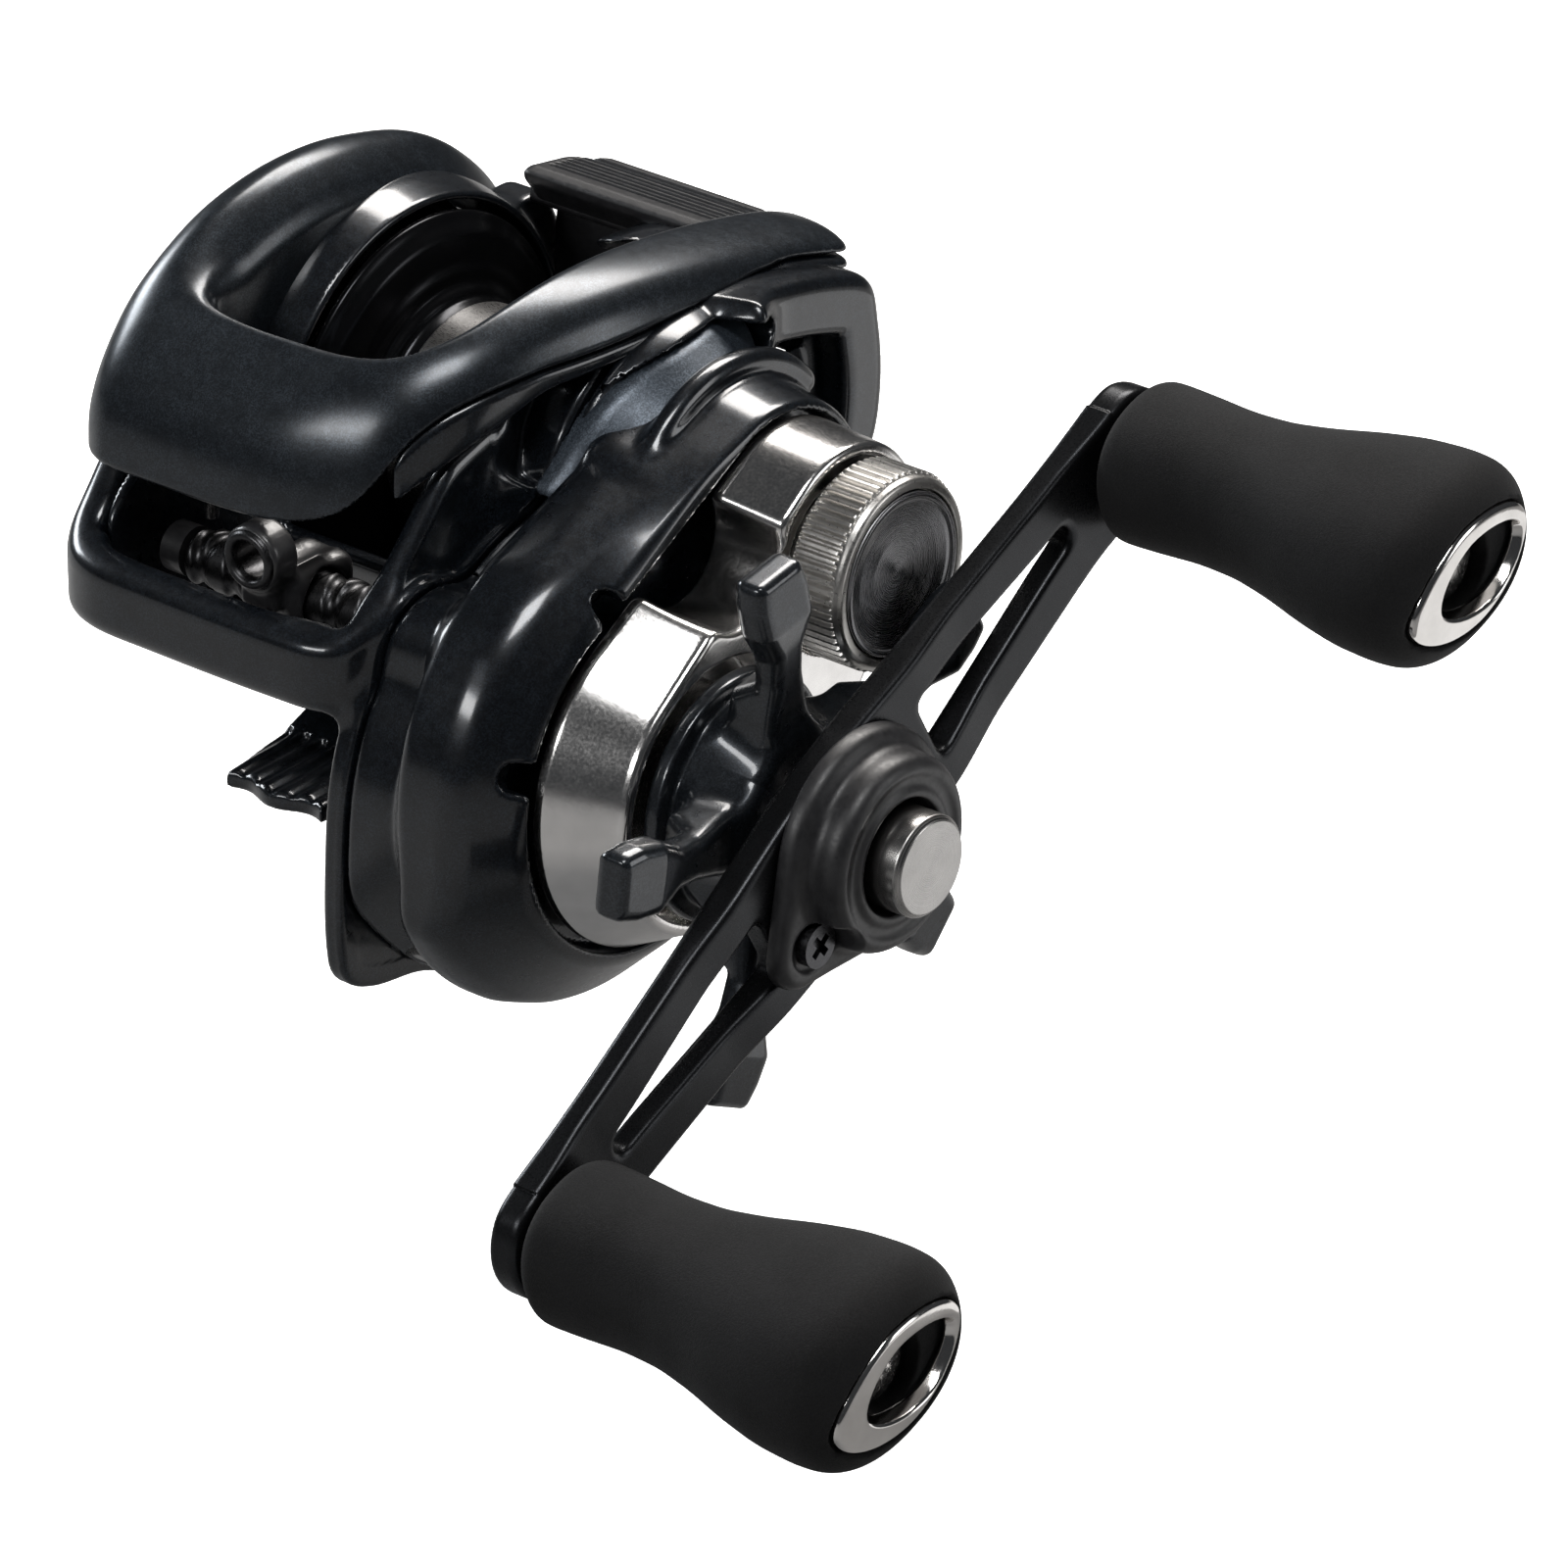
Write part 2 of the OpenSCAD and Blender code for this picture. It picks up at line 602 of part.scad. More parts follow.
module knob_body() difference() {
  union() {
    hull() {
      oval(knob_in, 6.2, 6.2);
      oval(knob_in + 0.8, 6.8, 6.8);
      oval(knob_in + 12.4, 6.9, 6.5);
      oval(knob_in + 14.4, 7.1, 6.5);
    }
    hull() {
      oval(knob_in + 13, 6.9, 6.5);
      oval(knob_in + 23, knob_w * 0.45, 7.2);
      oval(knob_in + 29, knob_w / 2, 7.6);
      oval(knob_end - 2.6, knob_w * 0.47, 7.2);
      oval(knob_end - 0.8, knob_w * 0.4, 6);
    }
  }
  rod(0, 120, 2.6);
  rod(0, knob_in + 2.6, 3.5);
  rod(knob_end - 8, 120, 3.5);
  translate([knob_end - 1.2, 0, 0]) along_x() linear_extrude(3) rotate(paddle_dir) polygon(
    [for (i = [0 : 39]) [7.4 * cos(i * 9), 5.2 * sin(i * 9)]]);
}

module cap_body() difference() {
  hull() {
    oval(knob_end - 1.2, 7.4, 5.2);
    oval(knob_end - 0.2, 7.2, 5);
  }
  translate([knob_end - 3, 0, 0]) along_x() linear_extrude(6) rotate(paddle_dir) polygon(
    [for (i = [0 : 39]) [5.4 * cos(i * 9) - 0.6, 3.4 * sin(i * 9)]]);
}

module bearing_pair() {
  bearing(knob_in + 0.6, knob_in + 2.6, 3.5, 2.04);
  bearing(knob_end - 8, knob_end - 6, 3.5, 2.04);
}

module knob_upper() color([0.05, 0.05, 0.05]) at_knob(1) knob_body();

module knob_upper_cap() color([0.8, 0.8, 0.8]) at_knob(1) cap_body();

module knob_upper_bearings() color([0.7, 0.7, 0.72]) at_knob(1) bearing_pair();

module knob_lower() color([0.05, 0.05, 0.05]) at_knob(-1) knob_body();

module knob_lower_cap() color([0.8, 0.8, 0.8]) at_knob(-1) cap_body();

module knob_lower_bearings() color([0.7, 0.7, 0.72]) at_knob(-1) bearing_pair();

// ---- cast control ----

module tension_knob() color([0.62, 0.6, 0.57]) difference() {
  turned([[6.3 + run, 36.5], [8.3, 36.5], [8.6, 36.8], [8.6, 39.6], [8.3, 40], [7, 41.6], [0, 41.6], [0, 40.6],
    [6.3 + run, 40.6]]);
  for (a = [0 : 6 : 354]) turn(a) at(8.75, 0) rod(36.7, 39.9, 0.3);
  rod(41, 60, 6.2);
}

module tension_disc() color([0.4, 0.4, 0.41]) turned([[0, 41], [6.2, 41], [6.2, 42], [5.6, 42], [5.2, 41.6], [0, 41.3]]);

// ---- level wind ----

module worm_shaft() color([0.72, 0.72, 0.74]) at(worm_y, worm_z) {
  rod(-13.2, 18.8, 1.2);
  difference() {
    rod(-10.6, 10.4, 2.6);
    for (x = [-9.2 : 1.6 : 9.2]) along_x() translate([0, 0, x]) rotate_extrude() translate([2.75, 0]) circle(0.55, $fn = 24);
  }
}

module worm_gear() color([0.85, 0.83, 0.78]) at(worm_y, worm_z) difference() {
  gear(train_in, train_out, worm_teeth, train_m, train_dir);
  rod(0, 40, 1.2);
}

module idle_gear() color([0.85, 0.83, 0.78]) at(idle_y, idle_z) difference() {
  gear(train_in, train_out, idle_teeth, train_m, train_dir + 180 / idle_teeth);
  rod(0, 40, 1.2 + run);
}

module line_guide() color([0.1, 0.1, 0.1]) difference() {
  union() {
    slab(-carriage_w / 2, carriage_w / 2, rounded([[-30.6, -11, 1], [-22.8, -11, 1], [-22.8, -0.8, 1.2],
      [-30.6, -0.8, 1]]));
    translate([0, -32.4, eye_z]) rotate([-90, 0, 0]) cylinder(h = 2.6, r = 2.7);
    box(-2, 2, -32.4, -30.6, -3, eye_z);
  }
  at(worm_y, worm_z) rod(-10, 10, 2.6 + run);
  at(rod_y, rod_z) rod(-10, 10, 0.9 + run);
  translate([0, -40, eye_z]) rotate([-90, 0, 0]) cylinder(h = 20, r = 2.1);
  translate([0, worm_y, -12]) cylinder(h = 2.4, r = 1.6);
  translate([0, worm_y, -12]) cylinder(h = 6, r = 1 + run);
}

module line_guide_eye() color([0.75, 0.75, 0.77]) translate([0, -32.6, eye_z]) rotate([-90, 0, 0]) difference() {
  union() {
    cylinder(h = 3, r = 2.1);
    cylinder(h = 0.2, r = 2.6);
  }
  translate([0, 0, -1]) cylinder(h = 5, r = eye_r);
}

module pawl() color([0.75, 0.6, 0.35]) {
  translate([0, worm_y, -10.2]) cylinder(h = worm_z - 2.66 + 10.2, r = 1);
  translate([0, worm_y, -10.2]) cylinder(h = 0.6, r = 1.5);
}

module pawl_cap() color([0.6, 0.6, 0.6]) difference() {
  translate([0, worm_y, -11.4]) cylinder(h = 1.2, r = 1.6);
  box(-0.3, 0.3, -40, 0, -12, -10.9);
}

module lifted() translate([0, 0, foot_drop]) children();

lifted() frame();
lifted() hood();
lifted() gear_cover();
lifted() drag_shroud();
lifted() cover_screws();
lifted() hood_screws();
lifted() drive_bearing();
lifted() one_way_clutch();
lifted() spool_bearing_outer();
lifted() yoke_posts();
lifted() yoke_springs();
lifted() worm_bushings();
lifted() guide_rod();
lifted() tension_pad();
lifted() palm_cover();
lifted() brake_ring();
lifted() spool_bearing_palm();
lifted() brake_dial();
lifted() spool();
lifted() spool_shaft();
lifted() clutch_pin();
lifted() brake_hub();
lifted() brake_shoes();
lifted() clutch_yoke();
lifted() pinion_gear();
lifted() thumb_bar();
lifted() thumb_pad();
lifted() clutch_cam();
lifted() drive_shaft();
lifted() ratchet_plate();
lifted() main_gear();
lifted() drag_washer();
lifted() pressure_plate();
lifted() drag_springs();
lifted() clutch_sleeve();
lifted() worm_drive_gear();
lifted() handle_arm();
lifted() handle_nut();
lifted() nut_retainer();
lifted() retainer_screw();
lifted() knob_shafts();
lifted() knob_screws();
lifted() star_drag();
lifted() drag_nut();
lifted() knob_upper();
lifted() knob_upper_cap();
lifted() knob_upper_bearings();
lifted() knob_lower();
lifted() knob_lower_cap();
lifted() knob_lower_bearings();
lifted() tension_knob();
lifted() tension_disc();
lifted() worm_shaft();
lifted() worm_gear();
lifted() idle_gear();
lifted() line_guide();
lifted() line_guide_eye();
lifted() pawl();
lifted() pawl_cap();
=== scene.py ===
"""A low-profile baitcasting reel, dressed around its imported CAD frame.

Shapes are worked out in millimetres about the spool axis: X along the spool, -Y towards the line exit,
+Z up. place() turns them into the frame's metres. Turned parts are lathed. Everything else is a signed
distance field turned into a mesh: negative inside, and the last number given to smin or smax is the
rounding, in millimetres, where two shapes meet.
"""
import math

import bmesh
import bpy
import numpy as np
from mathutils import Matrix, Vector


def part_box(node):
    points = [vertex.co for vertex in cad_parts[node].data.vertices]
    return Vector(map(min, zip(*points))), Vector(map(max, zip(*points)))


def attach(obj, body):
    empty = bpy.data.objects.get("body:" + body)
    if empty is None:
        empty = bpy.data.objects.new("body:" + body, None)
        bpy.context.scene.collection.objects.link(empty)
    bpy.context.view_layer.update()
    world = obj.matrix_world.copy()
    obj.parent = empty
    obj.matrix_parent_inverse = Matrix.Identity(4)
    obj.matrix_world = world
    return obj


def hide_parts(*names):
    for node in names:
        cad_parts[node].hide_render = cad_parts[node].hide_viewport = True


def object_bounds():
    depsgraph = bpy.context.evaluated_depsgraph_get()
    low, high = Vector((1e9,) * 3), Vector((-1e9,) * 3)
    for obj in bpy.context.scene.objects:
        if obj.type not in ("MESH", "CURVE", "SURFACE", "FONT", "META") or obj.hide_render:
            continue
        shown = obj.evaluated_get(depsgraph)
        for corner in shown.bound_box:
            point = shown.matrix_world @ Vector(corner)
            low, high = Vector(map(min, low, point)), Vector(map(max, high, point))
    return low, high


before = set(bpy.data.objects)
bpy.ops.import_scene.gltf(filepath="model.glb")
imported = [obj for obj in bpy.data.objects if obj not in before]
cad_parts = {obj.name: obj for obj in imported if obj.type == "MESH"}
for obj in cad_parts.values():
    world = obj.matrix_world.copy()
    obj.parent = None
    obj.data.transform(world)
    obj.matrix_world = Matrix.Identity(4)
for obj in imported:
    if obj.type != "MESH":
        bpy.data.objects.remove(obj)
CAD_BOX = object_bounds()
MM = 0.001


def middle(node):
    low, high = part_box(node)
    return (low + high) / 2 / MM


def top_of(node):
    """Lowest and highest X of a CAD node, in millimetres."""
    low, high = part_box(node)
    return low.x / MM, high.x / MM


LIFT = middle("spool").z


def axis_of(node):
    """Y and Z of the axis along X that a CAD node turns about."""
    return middle(node).y, middle(node).z - LIFT


AXIS = (0, 0)
DRIVE = DRIVE_Y, DRIVE_Z = axis_of("main_gear")
WORM = axis_of("worm_shaft")
IDLE = axis_of("idle_gear")
ROD = axis_of("guide_rod")
EYE_Z = axis_of("line_guide_eye")[1]
FINE = 0.34

# ---------------- fields


def smin(a, b, k):
    h = np.clip(0.5 + 0.5 * (b - a) / k, 0, 1)
    return b + (a - b) * h - k * h * (1 - h)


def smax(a, b, k):
    return -smin(-a, -b, k)


def step(low, high, v):
    t = np.clip((v - low) / (high - low), 0, 1)
    return t * t * (3 - 2 * t)


def mix(a, b, t):
    return a + (b - a) * t


def slab(v, low, high):
    return np.maximum(low - v, v - high)


def disc(y, z, cy, cz, r):
    return np.hypot(y - cy, z - cz) - r


def drop(y, z, a, ra, b, rb):
    """Distance to the hull of two discs, centres a and b in the YZ plane; ra is the larger radius."""
    gap = math.hypot(b[0] - a[0], b[1] - a[1])
    uy, uz = (b[0] - a[0]) / gap, (b[1] - a[1]) / gap
    along = (y - a[0]) * uy + (z - a[1]) * uz
    off = np.abs((y - a[0]) * -uz + (z - a[1]) * uy)
    sin = (ra - rb) / gap
    cos = np.sqrt(1 - sin * sin)
    side = off * -sin + along * cos
    flat = off * cos + along * sin - ra
    return np.where(side < 0, np.hypot(off, along) - ra,
                    np.where(side > gap * cos, np.hypot(off, along - gap) - rb, flat))


def turned_to(y, z, centre, angle):
    """Coordinates about centre, along and across the given direction."""
    dy, dz = y - centre[0], z - centre[1]
    return dy * math.cos(angle) + dz * math.sin(angle), -dy * math.sin(angle) + dz * math.cos(angle)


def weights(t):
    return ((1 - t) ** 3 / 6, (3 * t ** 3 - 6 * t ** 2 + 4) / 6,
            (-3 * t ** 3 + 3 * t ** 2 + 3 * t + 1) / 6, t ** 3 / 6)


class Line:
    """A smooth curve v(u) near the given points."""

    def __init__(self, points, pitch=0.8, soft=2):
        u = [p[0] for p in points]
        self.low = u[0] - 4 * pitch
        self.pitch = pitch
        count = int((u[-1] - u[0]) / pitch) + 9
        self.v = np.interp(self.low + pitch * np.arange(count), u, [p[1] for p in points])
        for _ in range(soft):
            self.v[1:-1] = (self.v[:-2] + 2 * self.v[1:-1] + self.v[2:]) / 4

    def __call__(self, u):
        s = np.clip((u - self.low) / self.pitch, 1.001, len(self.v) - 3.001)
        i = np.floor(s).astype(int)
        return sum(w * self.v[i + k - 1] for k, w in enumerate(weights(s - i)))


def closed_curve(points, per_edge=10):
    p = np.array(points, float)
    a, b, c, d = np.roll(p, 1, 0), p, np.roll(p, -1, 0), np.roll(p, -2, 0)
    t = (np.arange(per_edge) / per_edge)[None, :, None]
    a, b, c, d = (v[:, None, :] for v in (a, b, c, d))
    curve = b + 0.5 * t * (c - a + t * (2 * a - 5 * b + 4 * c - d + t * (3 * (b - c) + d - a)))
    return curve.reshape(-1, 2)


class Outline:
    """Smooth signed distance to a closed 2-D outline, kept as a table and read with cubic splines."""

    def __init__(self, points, curved=True, pitch=0.4, margin=14):
        p = closed_curve(points) if curved else np.array(points, float)
        self.pitch = pitch
        self.low = p.min(0) - margin
        n = np.ceil((p.max(0) + margin - self.low) / pitch).astype(int) + 1
        u = self.low[0] + pitch * np.arange(n[0])[:, None]
        v = self.low[1] + pitch * np.arange(n[1])[None, :]
        best = np.full((n[0], n[1]), 1e9)
        inside = np.zeros((n[0], n[1]), bool)
        for (au, av), (bu, bv) in zip(p, np.roll(p, -1, 0)):
            eu, ev = bu - au, bv - av
            t = np.clip(((u - au) * eu + (v - av) * ev) / (eu * eu + ev * ev + 1e-12), 0, 1)
            best = np.minimum(best, (u - au - eu * t) ** 2 + (v - av - ev * t) ** 2)
            if av != bv:
                inside ^= ((av <= v) != (bv <= v)) & (u - au < eu * (v - av) / ev)
        self.table = np.where(inside, -1, 1) * np.sqrt(best)

    def __call__(self, u, v):
        n = self.table.shape
        s = np.clip((u - self.low[0]) / self.pitch, 1.001, n[0] - 3.001)
        t = np.clip((v - self.low[1]) / self.pitch, 1.001, n[1] - 3.001)
        i, j = np.floor(s).astype(int), np.floor(t).astype(int)
        ws, wt = weights(s - i), weights(t - j)
        return sum(ws[a] * sum(wt[b] * self.table[i + a - 1, j + b - 1] for b in range(4)) for a in range(4))


# ---------------- meshes

FLATTEST = 0.05  # least squared gradient a point may be moved by
NORMAL_STEP = 0.09
SPARE = (1.7, 2.7)  # cells sampled beyond the low and high corners
SMOOTHINGS = 2
JUST_OUTSIDE = 0.01
CORNERS = np.array([(a, b, c) for a in (0, 1) for b in (0, 1) for c in (0, 1)])
EDGES = [(p, q) for p in range(8) for q in range(p + 1, 8) if abs(CORNERS[p] - CORNERS[q]).sum() == 1]


def surface_net(values):
    """Vertices (in grid units) and quads of the zero surface of a sampled field."""
    inside = values < 0
    count = sum(inside[a:inside.shape[0] - 1 + a, b:inside.shape[1] - 1 + b, c:inside.shape[2] - 1 + c].astype(np.int8)
                for a, b, c in CORNERS)
    active = (count > 0) & (count < 8)
    number = np.full(active.shape, -1, np.int64)
    cells = np.argwhere(active)
    number[active] = np.arange(len(cells))
    at = [values[cells[:, 0] + a, cells[:, 1] + b, cells[:, 2] + c] for a, b, c in CORNERS]
    total = np.zeros((len(cells), 3))
    hits = np.zeros(len(cells))
    for p, q in EDGES:
        cross = (at[p] < 0) != (at[q] < 0)
        t = np.where(cross, at[p] / np.where(cross, at[p] - at[q], 1), 0)
        total += np.where(cross[:, None], CORNERS[p] + t[:, None] * (CORNERS[q] - CORNERS[p]), 0)
        hits += cross
    verts = cells + total / hits[:, None]
    quads = []
    for axis in range(3):
        near = [slice(1, -1)] * 3
        far = [slice(1, -1)] * 3
        near[axis], far[axis] = slice(0, -1), slice(1, None)
        change = inside[tuple(near)] != inside[tuple(far)]
        spot = np.argwhere(change)
        spot += np.array([0 if a == axis else 1 for a in range(3)])
        flip = inside[tuple(spot.T)]
        b, c = np.eye(3, dtype=int)[(axis + 1) % 3], np.eye(3, dtype=int)[(axis + 2) % 3]
        ring = [number[tuple((spot - o).T)] for o in (b * 0, b, b + c, c)]
        quad = np.stack(ring, 1)
        quad[~flip] = quad[~flip][:, ::-1]
        quads.append(quad)
    return verts, np.concatenate(quads)


def slope(field, p, e=0.05):
    """Value and gradient of a field at points p."""
    x, y, z = p.T
    value = field(x, y, z)
    g = np.stack([field(x + e, y, z) - field(x - e, y, z), field(x, y + e, z) - field(x, y - e, z),
                  field(x, y, z + e) - field(x, y, z - e)], 1) / (2 * e)
    return value, g


def settle(field, p, reach, rounds=2):
    """Moves points onto the zero surface, each by no more than reach a round."""
    for _ in range(rounds):
        value, g = slope(field, p)
        move = -value[:, None] * g / np.maximum((g * g).sum(1), FLATTEST)[:, None]
        size = np.sqrt((move * move).sum(1))[:, None]
        p = p + move * np.minimum(1, reach / np.maximum(size, 1e-9))
    return p


def even_out(p, quads, strength=0.5):
    """Moves every point towards the middle of its neighbours."""
    total = np.zeros_like(p)
    hits = np.zeros(len(p))
    for k in range(4):
        a, b = quads[:, k], quads[:, (k + 1) % 4]
        for i in range(3):
            total[:, i] += np.bincount(a, p[b, i], len(p)) + np.bincount(b, p[a, i], len(p))
        hits += np.bincount(a, minlength=len(p)) + np.bincount(b, minlength=len(p))
    return p + strength * (total / hits[:, None] - p)


def place(p):
    """Millimetres about the spool axis to the frame's metres."""
    return (np.asarray(p, float) + (0, 0, LIFT)) * MM


def new_object(name, mesh, body, slot, nodes):
    """Links a piece, gives it its finish, and lets it ride on body in place of the CAD nodes."""
    piece = bpy.data.objects.new(name, mesh)
    bpy.context.scene.collection.objects.link(piece)
    mesh.materials.append(MATERIALS[OWN_FINISH.get(name, slot)])
    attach(piece, body)
    if nodes:
        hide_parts(*nodes)


def carve(name, field, low, high, body, slot, *nodes, detail=1.0):
    """A piece from a signed distance field, sampled between the corners low and high."""
    pitch = FINE * detail
    axes = [np.arange(low[i] - SPARE[0] * pitch, high[i] + SPARE[1] * pitch, pitch) for i in range(3)]
    x, y, z = axes[0][:, None, None], axes[1][None, :, None], axes[2][None, None, :]
    values = np.broadcast_to(field(x, y, z), (axes[0].size, axes[1].size, axes[2].size)).astype(np.float32)
    for axis in range(3):
        for end in (0, -1):
            edge = [slice(None)] * 3
            edge[axis] = end
            values[tuple(edge)] = np.maximum(values[tuple(edge)], JUST_OUTSIDE)
    verts, quads = surface_net(values)
    points = np.array([a[0] for a in axes]) + verts * pitch
    for _ in range(SMOOTHINGS):
        points = settle(field, even_out(points, quads), pitch)
    _, g = slope(field, points, NORMAL_STEP)
    normals = g / np.maximum(np.sqrt((g * g).sum(1)), 1e-9)[:, None]
    mesh = bpy.data.meshes.new(name)
    mesh.vertices.add(len(points))
    mesh.vertices.foreach_set("co", place(points).astype(np.float32).ravel())
    mesh.loops.add(quads.size)
    mesh.loops.foreach_set("vertex_index", quads.ravel().astype(np.int32))
    mesh.polygons.add(len(quads))
    mesh.polygons.foreach_set("loop_start", np.arange(0, quads.size, 4, dtype=np.int32))
    mesh.update(calc_edges=True)
    mesh.polygons.foreach_set("use_smooth", np.ones(len(quads), bool))
    mesh.normals_split_custom_set_from_vertices(normals)
    new_object(name, mesh, body, slot, nodes)


# ---------------- hood

PALM_TOP = Outline([
    (-32.4, 5.4), (-31.6, 9.4), (-28.9, 13.8), (-24.8, 17.8), (-18, 21.6), (-11, 23.3), (-4.2, 23.5), (1.6, 22.6),
    (7.6, 20.8), (13, 17.5), (17.8, 12.4), (20.8, 5.4), (20.4, -6), (0, -14), (-24, -8), (-31.8, 0)])
RAIL_TOP = Outline([
    (-32.4, 5.4), (-31.6, 9.4), (-29.4, 13.2), (-25.6, 16.8), (-20, 19.4), (-12.5, 20.8), (-4, 20.9), (5, 19.9),
    (14, 18.2), (21.4, 16.2), (25.2, 13.6), (25.4, 8), (20, -6), (0, -14), (-24, -8), (-31.8, 0)])
HOOD_PLAN = Outline([
    (-21, 40), (-21, 20), (-21, -14), (-21, -25), (-20.4, -31.8), (-17.4, -35), (-8, -35.6), (1, -35.2), (6.6, -32.8),
    (10.8, -29), (13.6, -24), (15.5, -18.8), (16.8, -13.4), (18, -7), (18.7, 1), (19, 10), (19, 20),
    (19, 40)], margin=6)
OPENING = Outline([
    (-13, 40), (-13, 20), (-13, -12), (-13, -19.6), (-12.6, -22.6), (-10, -24), (-3, -24.2), (3.4, -24.1),
    (7.6, -22.6), (10.1, -19), (11, -14), (11, -6), (10.6, 5), (10.2, 16), (10.2, 24), (10.2, 40)])
RAIL_FLOOR = Line([
    (-40, 3.6), (-31.6, 3.8), (-30, 6), (-28, 9.6), (-26, 12.2), (-23, 14.2), (-19.6, 15.2), (-14.7, 15.9),
    (0.8, 16.1), (10.5, 16), (16, 15.4), (21, 14), (34, 10)])
PALM_FLOOR = Line([(-40, 3.8), (-29, 4), (-24, 4.6), (-8, 9), (14, 10.5), (40, 9)])
RAIL_X = (-8, 7)  # where the tall palm side turns into the low rail
ARCH_X = -16.2  # the palm side's arch falls away beyond this
ARCH_FALL = 0.55
ARCH_SOFT = 1.4
HOOD_BORE = (17.8, 11.6)  # radius round the spool, and how far it goes along X
HOOD_WALL = 1.9


def hood_solid(x, y, z):
    """The satin hood's outside, before it is opened up."""
    rail = step(*RAIL_X, x)
    arch = step(-26, -17, y) * (1 - rail)
    fall = x - ARCH_X
    palm = PALM_TOP(y, z) + ARCH_FALL * arch * (fall + np.sqrt(fall * fall + ARCH_SOFT))
    return smax(mix(palm, RAIL_TOP(y, z), rail), HOOD_PLAN(x, y), mix(5.5, 7.5, rail))


def hood_floor(x, y):
    """Height of the hood's lower edge, where the frame starts."""
    return mix(PALM_FLOOR(y), RAIL_FLOOR(y), step(-8, 5, x))


def hood_field(x, y, z):
    solid = hood_solid(x, y, z)
    d = smax(solid, (hood_floor(x, y) - z) * 0.8, 0.7)
    bore = smax(np.hypot(y, z) - HOOD_BORE[0], x - HOOD_BORE[1], 0.6)
    d = smax(d, -bore, 0.5)
    inside = smax(smax(solid + HOOD_WALL, slab(x, -12, 8.8), 2), y + 19, 2)
    d = smax(d, -inside, 0.7)
    return smax(d, -OPENING(x, y), 1.3)


# ---------------- gear cover and bright plate

COVER_LOW = Outline([
    (-14.8, 4), (-19.3, 2.1), (-24, -1.4), (-28.2, -3.8), (-31.4, -5.8), (-33.9, -8.9), (-36, -14.6), (-36.8, -22),
    (-36.9, -29), (-36, -32.6), (-32.6, -34.4), (-27, -35.4), (-22, -37.4), (-16, -38.1), (-9, -37), (-2, -33.2),
    (4, -26.6), (9, -19.6), (15, -11.6), (20.4, -6.6), (23.4, -2.6), (24.4, 2.6), (24, 8), (22.6, 12.2), (17, 14.6),
    (9, 16.2), (1, 16.4), (-5, 15.2), (-9.8, 12.6), (-12.4, 9.6), (-13.8, 6.4)])
LEAF = Outline([
    (-15.5, 4.6), (-13.6, 8.4), (-10, 12), (-5, 14.2), (2, 15), (7.6, 14.4), (8.6, 12.6), (6.4, 11.2), (2, 10.6),
    (-3, 9.6), (-8, 7)])
# Radii of the long rounded shapes of the cover: the round end about the drive shaft, and the one about the spool.
PLATE = (15.4, 9.9)
WELL = (16.15, 10.3)
DRUM_TOP = (21.6, 12.1)
DRUM_FOOT = (20.95, 12.6)
DRUM_LIMIT = (22.9, 13)
DRUM_X = (18.3, 29.1)
TOWARDS_DRIVE = (-0.725, -0.689)
SEAM_X = 12.85
SEAM_RISE = 3.7
BLOCK_X = 20.8  # the outer face of the cover in front and behind
CONE_X = 24.2  # and of the cone above
WELL_FLOOR = 26.4
NOTCHES = (math.radians(108.5), math.radians(163))
RIDGE = (13, 23.2, 1.1)  # radius about the spool, X and thickness
PLATE_X = (28.6, 36)


def pill(y, z, radii):
    """Distance to the drop-shaped outline round the drive shaft and the spool axis."""
    return drop(y, z, DRIVE, radii[0], AXIS, radii[1])


def cover_low(y, z):
    """Side outline of the cover, with room for the two small gears that drive the worm."""
    gears = smin(disc(y, z, *WORM, 4.9), disc(y, z, *IDLE, 4.9), 1.5)
    return smin(COVER_LOW(y, z), gears, 2.5)


def seam(z):
    """Where the cover meets the frame: further out near the top."""
    return SEAM_X + SEAM_RISE * step(-6, 10, z)


def cover_cone(x, y, z):
    """The sloping face above the drum: a cone about the spool axis."""
    return 0.82 * np.hypot(y, z) + 0.573 * x - 23.9


def drum(x, y, z):
    """The raised wall round the bright plate: it narrows outwards, most of all round the drive shaft."""
    lean = mix(0.2, 0.93, step(-2, 20, TOWARDS_DRIVE[0] * y + TOWARDS_DRIVE[1] * z))
    slope_out = (pill(y, z, DRUM_TOP) + lean * (x - 24)) / np.sqrt(1 + lean * lean)
    foot = smin(pill(y, z, DRUM_FOOT), cover_low(y, z), 1.2)
    foot = smax(foot, pill(y, z, DRUM_LIMIT), 0.8)
    return smax(smax(foot, slope_out, 1.2), DRUM_X[0] - x, 1.6)


def shoulder(x, y, z):
    """The cover outside the drum: a low block in front, a cone above and a flat rim behind."""
    wall = cover_low(y, z)
    rear = step(3, 13, y)
    upper = step(-8, 2, z + 0.25 * y) * (1 - rear)
    d = smax(wall, cover_cone(x, y, z) - 20 * (1 - upper), 1.6)
    return smax(d, x - mix(mix(BLOCK_X, CONE_X, upper), BLOCK_X, rear), 1.8)


